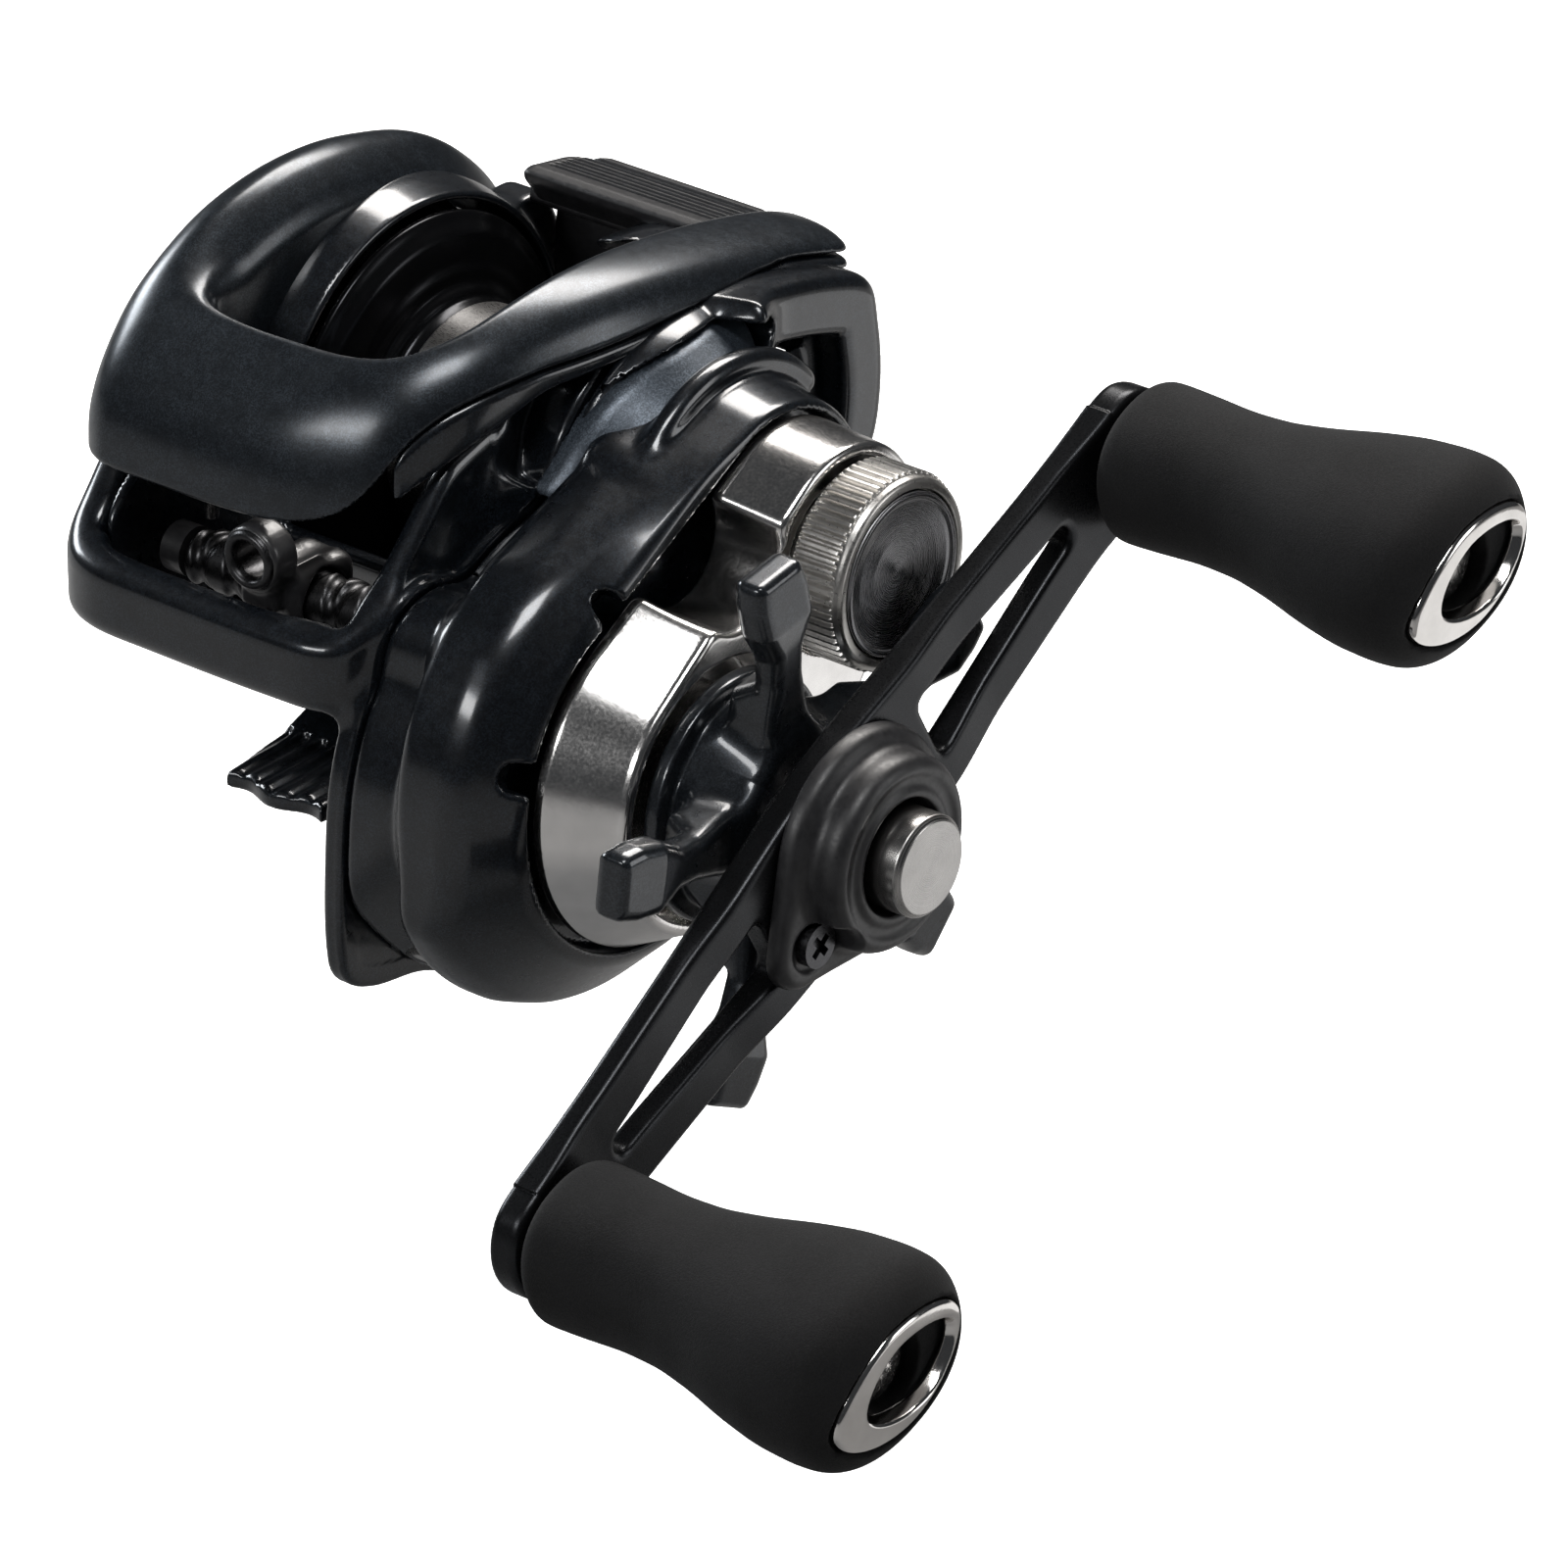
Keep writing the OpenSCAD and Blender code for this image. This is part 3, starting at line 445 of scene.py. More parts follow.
def cover_room(x, y, z):
    """Space inside the cover for the gears, the ratchet and the pinion."""
    r = np.hypot(y, z)
    rear = step(3, 13, y)
    gears = smax(disc(y, z, *DRIVE, 20.1), slab(x, 19.4, 23.3), 0.3)
    cone = cover_cone(x, y, z) + 2.8 - 20 * rear
    train = smax(smax(COVER_LOW(y, z) + 1.3, cone, 0.3), x - mix(18.4, 15.7, rear), 0.3)
    small = smax(np.minimum(disc(y, z, *WORM, 4.2), disc(y, z, *IDLE, 4.2)), x - 17.4, 0.3)
    ratchet = smax(disc(y, z, *DRIVE, 16.2), slab(x, 11, 21), 0.3)
    pinion = smin(smax(r - 9.6, slab(x, 0, 25.4), 0.3), smax(r - 4, slab(x, 0, 40), 0.3), 0.2)
    return np.minimum.reduce([gears, train, small, ratchet, pinion])


def cover_field(x, y, z):
    recess = smax(cover_low(y, z) + 5.4, 16.8 - x, 1.6)
    recess = smax(recess, 5 - y + 0.3 * z, 3)
    body = smax(shoulder(x, y, z), -recess, 1.2)
    leaf = smax(LEAF(y, z), 15 - x, 0.4)
    leaf = smax(leaf, -cover_cone(x, y, z) - 1.3, 0.4)
    body = smax(body, -leaf, 0.6)
    ridge = np.hypot(np.hypot(y, z) - RIDGE[0], x - RIDGE[1]) - RIDGE[2]
    body = smin(body, smax(ridge, -3 - z + 0.9 * y, 3), 0.8)
    d = smin(body, smax(drum(x, y, z), x - DRUM_X[1], 0.9), 0.8)
    d = smax(d, seam(z) + 0.12 - x, 1.0)
    d = smax(d, -smax(pill(y, z, WELL), WELL_FLOOR - x, 0.4), 0.4)
    for angle in NOTCHES:
        out, across = turned_to(y, z, DRIVE, angle)
        notch = smax(smax(slab(out, 10, 18.4), np.abs(across) - 1.3, 1.5), 26.6 - x, 0.4)
        d = smax(d, -notch, 0.5)
    return smax(d, -cover_room(x, y, z), 0.3)


def leaf_field(x, y, z):
    """The satin inlay in the cover's upper front."""
    skin = cover_cone(x, y, z)
    d = smax(LEAF(y, z) + 0.35, skin + 0.7 - 0.012 * LEAF(y, z) ** 2, 0.5)
    return smax(d, -skin - 1.9, 0.2)


def plate_outline(x, y, z):
    """Two cones joined side by side, with a bite out of the waist."""
    slope_in = np.clip(x - 29.7, 0, 5.6) * 0.5
    d = pill(y, z, (PLATE[0] - slope_in, PLATE[1] - 0.12 * slope_in))
    return smax(d, -disc(y, z, -13.4, 3.6, 5.2), 1.2)


def plate_field(x, y, z):
    d = smax(plate_outline(x, y, z), x - PLATE_X[1], 0.7)
    d = smax(d, PLATE_X[0] - x, 0.4)
    well = smax(disc(y, z, *DRIVE, 11.45), 29.6 - x, 0.3)
    hole = smax(np.hypot(y, z) - 6.6, 28 - x, 0.3)
    pocket = smax(np.hypot(y, z) - 8.5, 35.2 - x, 0.3)
    return smax(smax(smax(d, -well, 0.35), -hole, 0.3), -pocket, 0.3)


# ---------------- frame

BELT_OUT = Outline([
    (-20.8, 0), (-20.9, -14), (-20.8, -28), (-19.8, -33.4), (-15.6, -36), (-8, -36.4), (4, -36.4), (9.6, -35.8),
    (12.4, -33), (12.9, -28), (12.9, -14), (12.9, 0)])
BELT_IN = Outline([
    (-17.4, 20), (-17.4, -10), (-17.4, -29.4), (-15.8, -32.4), (-12.6, -33.3), (-2, -33.4), (5, -33), (9, -30.8),
    (10.6, -27), (10.6, -10), (10.6, 20)])
BELT_TOP = Line([(-44, -2.8), (-35, -2.6), (-33.4, -1.9), (-31, 0), (-27.7, 3.8), (-22.6, 9.4), (-17, 11), (10, 11)])
CHEEK = Outline([
    (-35.6, -8.6), (-35.9, -4.6), (-34.2, -2), (-31.2, 0), (-27.7, 3.8), (-24.4, 8), (-22.4, 10.6), (-20.6, 10),
    (-14.8, 5.4), (-11, 2), (-12, -2), (-22, -8), (-31, -10.4)])
RING_TOP = Line([(-30, 19.2), (-13, 19.2), (-12.2, 19), (-9.8, 18.4), (0, 18.3)], pitch=0.3)
STRUT = Line([(-40, 2), (-33, 2.2), (-29, 3.6), (-24, 4.6), (-20, 3.8), (-14, 2), (0, 1.5), (30, 1.4)])
WALL_X = (10.7, 12.7)
PALM_X = -17  # the palm end of the ring, the floor and the rear bar
BORE_R = 17.7
BELT_LOW = -9.4


def foot_field(x, y, z):
    """The reel foot: a thin plate with ribbed tips under a tapering stem."""
    under = -LIFT
    plan = np.maximum(np.abs(x) - 6.2 + 0.9 * step(24, 31, np.abs(y)), np.abs(y) - 30.8 - 0.5 * np.cos(x * 0.9))
    top = z - (under + 1.7 + 2.6 * (1 - step(15, 25, np.abs(y))))
    plate = smax(smax(plan, top, 0.8), under - z, 0.5)
    ribs = smax(np.hypot((np.mod(x + 0.95, 1.9) - 0.95), z - (under + 1.95)) - 0.5, 22 - np.abs(y), 1)
    plate = smax(plate, -ribs, 0.3)
    lean = (z - under) * 0.55
    stem = smax(smax(np.abs(x) - 8.4, np.abs(y) - 17.4 + lean, 3), slab(z, under, -15), 0.6)
    return smin(plate, stem, 2)


def belt_field(x, y, z):
    """The bar round the front, open in the middle for the line guide."""
    belt = smax(BELT_OUT(x, y), -BELT_IN(x, y), 1)
    belt = smax(belt, z - BELT_TOP(y), 1.8)
    belt = smax(belt, BELT_LOW - z, 2)
    return smax(belt, y + 14, 2)


def wall_field(x, y, z):
    """The gear side wall, its rim that meets the cover, and the arc above the spool."""
    low = cover_low(y, z)
    wall = smax(low, slab(x, *WALL_X), 0.6)
    rim = smax(smax(low, -(low + 2.2), 0.4), slab(x, 12, seam(z) - 0.12), 0.7)
    arc = smax(smax(np.hypot(y, z) - 18.4, slab(x, WALL_X[0], 12.2), 0.5), 2 - z, 0.5)
    return smin(smin(wall, rim, 0.2), arc, 0.3)


def cheek_field(x, y, z):
    """Two sloping planes that lead from the front bar up to the cover."""
    above = z - 1.4 - 0.265 * (y + 27)
    ledge = 10.9 + 0.38 * (y + 27)
    cheek = smax((x - ledge + 0.38 * above) * 0.87, (x - ledge + 0.06 * above) * 0.93, 0.5)
    cheek = smax(smax(CHEEK(y, z), cheek, 1.0), 9.8 - x, 0.4)
    return smax(cheek, -smax(cover_low(y, z) - 0.5, seam(z) - 0.6 - x, 0.2), 0.3)


def rail_field(x, y, z):
    """The strut that follows the hood's lower edge on the gear side."""
    lip = hood_solid(x, y, z)
    under = z - hood_floor(x, y)
    rail = smax(lip + 0.25 - 0.12 * under, slab(under, -STRUT(y), -0.15), 0.7)
    return smax(smax(rail, -(lip + 3.4), 0.6), np.where(x < 2, 2 - x, 0) + slab(y, -32, 24), 0.8)


def back_field(x, y, z):
    """The bar behind the spool, slotted for the thumb bar's curtain, and the post at its palm end."""
    back = smax(smax(disc(y, z, 18, -3, 4.2), slab(x, PALM_X, 11), 0.4), -12 - z, 1)
    slot = smax(smax(slab(y, 18.4, 22.6), slab(x, -13, 11.4), 0.3), -3.6 - z, 0.3)
    tall = smax(12 - y, slab(z, -6, 12.6), 0.8)
    post = smax(smax(slab(x, -16, -11.8), np.hypot(y, z) - 22.5, 0.8), tall, 0.8)
    return smin(smax(back, -slot, 0.4), post, 1)


def frame_field(x, y, z):
    around = np.hypot(y, z)
    ring = smax(around - RING_TOP(x), slab(x, PALM_X, -9.8), 0.4)
    floor = smax(smax(around - 19.3, slab(x, PALM_X, 11), 0.3), z + 4.6, 1.6)
    d = smin(smin(belt_field(x, y, z), wall_field(x, y, z), 1.6), cheek_field(x, y, z), 1.0)
    d = smin(smin(d, ring, 1.2), floor, 1.2)
    d = smin(smin(d, rail_field(x, y, z), 0.8), back_field(x, y, z), 1.5)
    d = smin(d, foot_field(x, y, z), 1.8)
    bore = smax(around - BORE_R, x - WALL_X[0] + 0.1, 0.3)
    d = smax(d, -bore, 0.4)
    guide = smax(smax(slab(x, -11.4, 10.4), slab(y, -33.3, -20), 1), z - 20, 1)
    d = smax(d, -smax(guide, -14.4 - z, 1), 0.7)
    return smax(d, -smax(disc(y, z, 20, 2, 3.2), slab(x, 7, 16), 0.5), 0.4)


# ---------------- materials


class Nodes:
    """A small builder for one procedural material; textures use object coordinates, scaled per millimetre."""

    def __init__(self, name):
        self.material = bpy.data.materials.new(name)
        self.material.use_nodes = True
        self.tree = self.material.node_tree
        self.shader = self.tree.nodes["Principled BSDF"]
        self.coords = self.math3("MULTIPLY", self.add("TexCoord").outputs["Object"], (1000, 1000, 1000))
        self.bump_out = None

    def feed(self, value, slot):
        """Links a socket to slot, or gives slot a plain value; a colour may leave its alpha out."""
        if hasattr(value, "is_output"):
            self.tree.links.new(value, slot)
        elif slot.type == "RGBA":
            slot.default_value = (*value, 1)
        else:
            slot.default_value = value

    def add(self, kind, *values, **named):
        """A new node: values fill its first inputs, and names are its settings or its other inputs."""
        node = self.tree.nodes.new("ShaderNode" + kind)
        for key, value in named.items():
            if hasattr(node, key):
                setattr(node, key, value)
            else:
                self.feed(value, node.inputs[key.replace("_", " ")])
        for value, slot in zip(values, node.inputs):
            self.feed(value, slot)
        return node

    def set(self, **values):
        for key, value in values.items():
            self.feed(value, self.shader.inputs[key.replace("_", " ")])

    def math3(self, operation, a, b):
        return self.add("VectorMath", a, b, operation=operation).outputs[0]

    def math(self, operation, a, b=0.5):
        return self.add("Math", a, b, operation=operation).outputs[0]

    def noise(self, scale, detail=2.0, stretch=(1, 1, 1), roughness=0.5):
        place = self.math3("MULTIPLY", self.coords, stretch)
        return self.add("TexNoise", Vector=place, Scale=scale, Detail=detail, Roughness=roughness).outputs["Fac"]

    def cells(self, scale):
        return self.add("TexVoronoi", Vector=self.coords, Scale=scale).outputs

    def spread(self, value, low, high, a=0.3, b=0.7):
        return self.add("MapRange", value, a, b, low, high).outputs[0]

    def tint(self, value, dark, light, a=0.3, b=0.7):
        node = self.add("Mix", self.spread(value, 0, 1, a, b), data_type="RGBA")
        self.feed(dark, node.inputs[6])
        self.feed(light, node.inputs[7])
        return node.outputs[2]

    def bump(self, height, strength, distance, coat=False):
        node = self.add("Bump", Strength=strength, Distance=distance * MM, Height=height)
        if self.bump_out:
            self.feed(self.bump_out, node.inputs["Normal"])
        self.bump_out = node.outputs[0]
        self.feed(self.bump_out, self.shader.inputs["Coat Normal" if coat else "Normal"])

    def rings(self, centre, pitch):
        """Turning marks round an axis along X through centre, in millimetres of object space."""
        across = self.math3("MULTIPLY", self.math3("SUBTRACT", self.coords, centre), (0, 1, 1))
        radius = self.add("VectorMath", across, operation="LENGTH").outputs["Value"]
        wave = self.math("SINE", self.math("MULTIPLY", radius, 2 * math.pi / pitch))
        fine = self.add("TexNoise", Scale=1.0, Detail=3.0, noise_dimensions="1D")
        self.feed(self.math("MULTIPLY", radius, 1.3 / pitch), fine.inputs["W"])
        return self.math("ADD", self.math("MULTIPLY", wave, 0.25), fine.outputs["Fac"])


def paint(name, dark, light, rough, coat, coat_rough, metal, flake):
    """Sprayed metallic paint: fine flakes under a clear coat, with slow colour drift and orange peel."""
    m = Nodes(name)
    flakes = m.cells(9.0)
    glint = m.math("MULTIPLY", m.spread(flakes["Color"], 0, 1, 0.2, 0.9), m.noise(0.5, 2))
    colour = m.tint(glint, dark, light, 0.1, 0.6)
    m.set(Base_Color=colour, Metallic=metal, Coat_Weight=coat, Coat_Roughness=coat_rough, Coat_IOR=1.5)
    m.set(Roughness=m.spread(m.noise(1.2, 4), rough * 0.88, rough * 1.12))
    m.bump(flakes["Distance"], flake, 0.02)
    m.bump(m.noise(0.9, 2), 0.05, 0.02, coat=True)
    return m.material


def metal(name, colour, rough, grain, stretch=(1, 1, 1), scale=4.0, aniso=0.0, rings=None, pitch=0.12, strength=0.25):
    """Machined or plated metal with fine marks; rings gives turning marks about an axis."""
    m = Nodes(name)
    low = tuple(c * 0.86 for c in colour)
    blotch = m.noise(0.35, 3)
    m.set(Base_Color=m.tint(blotch, low, colour), Metallic=1.0)
    marks = m.rings(rings, pitch) if rings else m.noise(scale, 3, stretch)
    m.set(Roughness=m.spread(marks, rough * (1 - grain), rough * (1 + grain)))
    m.bump(marks, strength, 0.004)
    if aniso:
        tangent = m.add("Tangent", direction_type="RADIAL", axis="X")
        m.set(Tangent=tangent.outputs[0], Anisotropic=aniso)
    return m.material


def foam(name):
    """Closed-cell EVA foam: matt black with fine pores and slight buffing marks."""
    m = Nodes(name)
    pores = m.noise(5.5, 4, roughness=0.75)
    patch = m.noise(0.16, 3)
    colour = m.tint(patch, (0.0028, 0.0028, 0.0031), (0.006, 0.006, 0.0065))
    m.set(Base_Color=colour, Roughness=m.spread(pores, 0.72, 0.95), Sheen_Weight=0.035, Sheen_Roughness=0.55,
          Specular_IOR_Level=0.22)
    m.bump(pores, 0.55, 0.06)
    m.bump(m.cells(7.0)["Distance"], 0.3, 0.03)
    return m.material


def moulded(name, colour, rough, grain=0.25, scale=6.0, coat=0.0):
    """Moulded or anodised dark part with a fine satin grain."""
    m = Nodes(name)
    light = tuple(min(1, c * 1.7 + 0.004) for c in colour)
    m.set(Base_Color=m.tint(m.noise(0.8, 4), colour, light), Coat_Weight=coat, Coat_Roughness=0.08)
    m.set(Roughness=m.spread(m.noise(2.5, 3), rough * 0.85, rough * 1.15))
    m.bump(m.noise(scale, 3), grain, 0.01)
    return m.material


def anodised(name, colour, rough, grain):
    """Blasted and anodised aluminium: dark, metallic, finely sandy."""
    m = Nodes(name)
    light = tuple(c * 1.25 for c in colour)
    m.set(Base_Color=m.tint(m.noise(0.4, 3), colour, light), Metallic=0.85)
    m.set(Roughness=m.spread(m.noise(6, 3), rough * 0.85, rough * 1.15))
    m.bump(m.noise(9, 2), grain, 0.006)
    return m.material


MATERIALS = {}
DRAWN = (6, 1, 1)  # marks drawn out across the part's axis


def add(name, recipe, *values, **options):
    MATERIALS[name] = recipe(name, *values, **options)


def make_materials():
    drive = (0, DRIVE_Y, DRIVE_Z + LIFT)
    spool = (0, 0, LIFT)
    add("hood_satin", paint, (0.009, 0.012, 0.016), (0.032, 0.041, 0.052), 0.32, 0.6, 0.22, 0.65, 0.04)
    add("cover_inlay", paint, (0.026, 0.034, 0.045), (0.085, 0.105, 0.13), 0.38, 0.2, 0.3, 0.6, 0.04)
    add("body_gloss", paint, (0.003, 0.004, 0.006), (0.016, 0.022, 0.030), 0.30, 0.9, 0.13, 0.55, 0.03)
    add("plate_chrome", metal, (0.72, 0.70, 0.68), 0.11, 0.2, strength=0.03)
    add("bright_plate", metal, (0.80, 0.785, 0.77), 0.19, 0.2, strength=0.03)
    add("steel", metal, (0.62, 0.61, 0.60), 0.22, 0.3, DRAWN, 3.0)
    add("brass", metal, (0.72, 0.53, 0.25), 0.28, 0.3, DRAWN, 3.0)
    add("spool_dark", anodised, (0.012, 0.0125, 0.014), 0.22, 0.04)
    add("arbor", metal, (0.34, 0.335, 0.33), 0.3, 0.2, (1, 5, 5), 3.0)
    add("arm_dark", anodised, (0.017, 0.0178, 0.0195), 0.30, 0.10)
    add("nut_silver", metal, (0.42, 0.41, 0.40), 0.3, 0.25, aniso=0.5, rings=drive, pitch=0.16)
    add("knob_silver", metal, (0.60, 0.585, 0.56), 0.33, 0.2, strength=0.05)
    add("retainer_black", moulded, (0.008, 0.008, 0.009), 0.42, 0.25)
    add("star_black", paint, (0.010, 0.012, 0.015), (0.028, 0.034, 0.042), 0.3, 0.7, 0.1, 0.6, 0.04)
    add("grip_foam", foam)
    add("thumb_black", moulded, (0.006, 0.006, 0.007), 0.45, 0.3)
    add("carriage_black", moulded, (0.010, 0.010, 0.011), 0.38, 0.3, coat=0.3)
    add("white_plastic", moulded, (0.62, 0.60, 0.55), 0.4, 0.2)
    add("carbon", moulded, (0.02, 0.02, 0.021), 0.4, 0.4, 3.0)
    add("disc_turned", metal, (0.30, 0.30, 0.31), 0.24, 0.25, aniso=0.85, rings=spool, pitch=0.2)
    add("dark_steel", metal, (0.16, 0.16, 0.165), 0.22, 0.3, DRAWN, 3.0)
    add("worm_dark", metal, (0.05, 0.05, 0.052), 0.34, 0.3, DRAWN, 3.0)
    add("screw_black", metal, (0.08, 0.08, 0.085), 0.35, 0.3)


make_materials()
OWN_FINISH = {"cover_inlay": "cover_inlay", "bright_plate": "bright_plate", "tension_face": "disc_turned",
              "worm_screw": "worm_dark", "guide_eye_ring": "worm_dark", "spool_arbor": "arbor"}


def build_shells():
    carve("hood_shell", hood_field, (-21.2, -33.2, 3), (19.2, 25.7, 24), "frame", "hood_satin", "hood")
    carve("cover_shell", cover_field, (12.6, -37.5, -39), (30, 25.5, 17.5), "frame", "body_gloss", "gear_cover")
    carve("cover_inlay", leaf_field, (13, -16.5, 3.6), (26, 9.5, 16), "frame", "hood_satin", detail=0.7)
    carve("bright_plate", plate_field, (28.2, -33, -32), (36.6, 11, 11), "frame", "plate_chrome", "drag_shroud",
          detail=0.8)
    carve("frame_shell", frame_field, (-21.5, -37.5, -39), (18.8, 32.5, 19.6), "frame", "body_gloss", "frame")


# ---------------- turned parts


MERGE = 1e-7
SHARP = math.radians(42)


def soft_profile(points, radius, steps=3):
    """The profile with every inside corner rounded, so that edges catch the light."""
    p = [Vector(q) for q in points]
    out = [p[0]]
    for a, b, c in zip(p, p[1:], p[2:]):
        u, w = a - b, c - b
        if u.length < 1e-6 or w.length < 1e-6:
            continue
        r = min(radius, u.length * 0.45, w.length * 0.45)
        start, end = b + u.normalized() * r, b + w.normalized() * r
        for i in range(steps + 1):
            t = i / steps
            out.append(start * (1 - t) ** 2 + b * 2 * t * (1 - t) + end * t ** 2)
    out.append(p[-1])
    return out


def lathe(name, profile, centre, body, slot, *nodes, radius, segments=128, ripple=None, closed=True):
    """A turned piece; profile holds (radius, x). ripple(angle, r, x) gives a radius for knurled parts."""
    path = soft_profile(profile + profile[:1] if closed else profile, radius)
    if closed and path[0] == path[-1]:
        path = path[1:-1]
    angles = np.arange(segments) * 2 * math.pi / segments
    rings = []
    for r, x in path:
        radii = np.full(segments, r) if ripple is None else ripple(angles, r, x)
        rings.append(np.stack([np.full(segments, x), centre[0] + radii * np.cos(angles),
                               centre[1] + radii * np.sin(angles)], 1))
    count = len(rings)
    verts = place(np.concatenate(rings))
    faces = []
    for i in range(count if closed else count - 1):
        j = (i + 1) % count
        for k in range(segments):
            m = (k + 1) % segments
            faces.append((i * segments + k, i * segments + m, j * segments + m, j * segments + k))
    mesh = bpy.data.meshes.new(name)
    mesh.from_pydata([tuple(v) for v in verts], [], faces)
    work = bmesh.new()
    work.from_mesh(mesh)
    bmesh.ops.remove_doubles(work, verts=work.verts, dist=MERGE)
    bmesh.ops.recalc_face_normals(work, faces=work.faces)
    work.to_mesh(mesh)
    work.free()
    for face in mesh.polygons:
        face.use_smooth = True
    mesh.set_sharp_from_angle(angle=SHARP)
    new_object(name, mesh, body, slot, nodes)


# ---------------- handle

HANDLE_R = 42
ARM_END_R = 5.7
ARM_ANGLE = math.radians(29.3)
PADDLE = math.radians(20)
ARM_IN, ARM_OUT = top_of("handle_arm")
KNOB_IN, KNOB_END = top_of("knob_upper")
NUT_OUT = top_of("handle_nut")[1]
TAIL = math.radians(220)  # the way the nut retainer points
DOME = (8.5, 54.8)
STAR_ARMS = 5
STAR_TURN = math.radians(27.6)
EYE = (0.2, 8.1, 4.9)  # the seat of a knob's end ring: offset and half lengths


def knob_centre(side):
    return (DRIVE_Y + side * HANDLE_R * math.cos(ARM_ANGLE), DRIVE_Z + side * HANDLE_R * math.sin(ARM_ANGLE))


ARM_HALF = Line([(-6, 8.4), (0, 8.4), (5, 8.2), (10, 7.7), (20, 6.8), (32, 5.9), (37, 5.7), (60, 5.7)])
SLOT_HALF = Line([(8, 3.7), (12, 3.5), (20, 2.6), (30, 1.4), (34, 1.1), (44, 1)])


def arm_field(x, y, z):
    """The crank: both halves alike, each with a long slot."""
    u, v = turned_to(y, z, DRIVE, ARM_ANGLE)
    u = np.abs(u)
    edge = smax(np.abs(v) - ARM_HALF(u), np.where(u > HANDLE_R, np.hypot(u - HANDLE_R, v) - ARM_END_R, -9), 1)
    face = slab(x, ARM_IN + 0.02, ARM_OUT - 0.02 - 0.5 * step(12, 20, u) * step(42, 34, u))
    d = smax(edge, face, 0.8)
    slot = smax(np.abs(v) - SLOT_HALF(u), slab(u, 11.6, 33.4), 1.6)
    d = smax(d, -slot, 0.7)
    return smax(d, -disc(y, z, *DRIVE, 3.6), 0.3)


def retainer_field(x, y, z):
    """The cap that locks the arm nut, with a tail for its screw."""
    tip, screw = ((DRIVE_Y + r * math.cos(TAIL), DRIVE_Z + r * math.sin(TAIL)) for r in (10.2, 9.6))
    r = disc(y, z, *DRIVE, 0)
    base = smax(drop(y, z, DRIVE, 10, tip, 3.5), x - 51.3 - 0.5 * step(11, 7, r), 1.3)
    dome = smax(r - DOME[0], x - DOME[1], 1.8)
    d = smin(base, dome, 1.0)
    d = smax(d, ARM_OUT + 0.05 - x, 0.3)
    groove = np.hypot(r - 6.4, x - DOME[1] - 0.4) - 0.75
    d = smax(d, -groove, 0.4)
    pocket = smax(disc(y, z, *screw, 2.25), 50.9 - x, 0.4)
    d = smax(d, -pocket, 0.5)
    return smax(d, -smax(r - 5.0, 40 - x, 0.2), 0.4)


STAR_SIDE = Outline([
    (4, 38.6), (12.2, 39.8), (13.6, 42.3), (19, 42.5), (24.2, 42.5), (24.6, 43.2), (24.5, 45.2), (23.8, 45.6),
    (19.6, 46), (11, 44.6), (4, 43.8)], curved=False, pitch=0.25, margin=8)
STAR_PLAN = Outline([
    (2, -3.6), (9, -2.9), (14, -1.95), (16.6, -1.9), (19.4, -3.1), (22, -3.2), (24.7, -2.7), (24.7, 2.7), (22, 3.2),
    (19.4, 3.1), (16.6, 1.9), (14, 1.95), (9, 2.9), (2, 3.6)], curved=False, pitch=0.25, margin=8)


def star_field(x, y, z):
    """One arm repeated round the drive shaft, blended into a conical hub."""
    dy, dz = y - DRIVE_Y, z - DRIVE_Z
    r = np.hypot(dy, dz)
    share = 2 * math.pi / STAR_ARMS
    a = np.mod(np.arctan2(dz, dy) - STAR_TURN + share / 2, share) - share / 2
    u, v = r * np.cos(a), r * np.sin(a)
    arm = smax(STAR_SIDE(u, x), STAR_PLAN(u, v), 1.3)
    hub = smax(r - 9.3 + 0.25 * (x - 38), slab(x, 37.4, 44.2), 1.2)
    collar = smax(r - 10.9, slab(x, 36.45, 37.9), 0.4)
    d = smin(smin(hub, arm, 2.2), collar, 0.4)
    return smax(d, -smax(r - 3.7, x - 60, 0.2), 0.3)


KNOB_WIDE = Line([
    (-3, 6.2), (0, 6.5), (1, 6.85), (5, 6.75), (9, 6.55), (13, 6.75), (17, 7.6), (21, 8.8), (25, 9.7), (29, 10),
    (32, 9.7), (35, 8.8), (38, 7.8)], pitch=0.8)
KNOB_THIN = Line([
    (-3, 6.2), (0, 6.4), (1, 6.7), (5, 6.5), (9, 6.2), (13, 6.3), (17, 6.7), (21, 7.2), (25, 7.6), (29, 7.7),
    (32, 7.4), (35, 6.7), (38, 6)], pitch=0.8)


def oval_field(u, v, a, b, power=2.2):
    """Distance, near enough, to a squarish oval of half lengths a and b."""
    least = np.minimum(a, b)
    return ((np.abs(u) / a) ** power + (np.abs(v) / b) ** power + 1e-9) ** (1 / power) * least - least


def knob_field(side):
    centre = knob_centre(side)

    def field(x, y, z):
        u, v = turned_to(y, z, centre, PADDLE)
        s = x - KNOB_IN
        d = oval_field(u, v, KNOB_WIDE(s), KNOB_THIN(s))
        length = KNOB_END - KNOB_IN
        d = smax(d, s - length, 4.2)
        d = smax(d, -s, 1.6)
        seat = smax(oval_field(u + EYE[0], v, EYE[1], EYE[2], 1.8), length - 1.9 - s, 0.2)
        d = smax(d, -seat, 0.35)
        bore = smax(np.hypot(u, v) - 3.6, length - 6 - s, 0.2)
        d = smax(d, -bore, 0.2)
        return smax(d, 2.3 - np.hypot(u, v), 0.2)

    return field


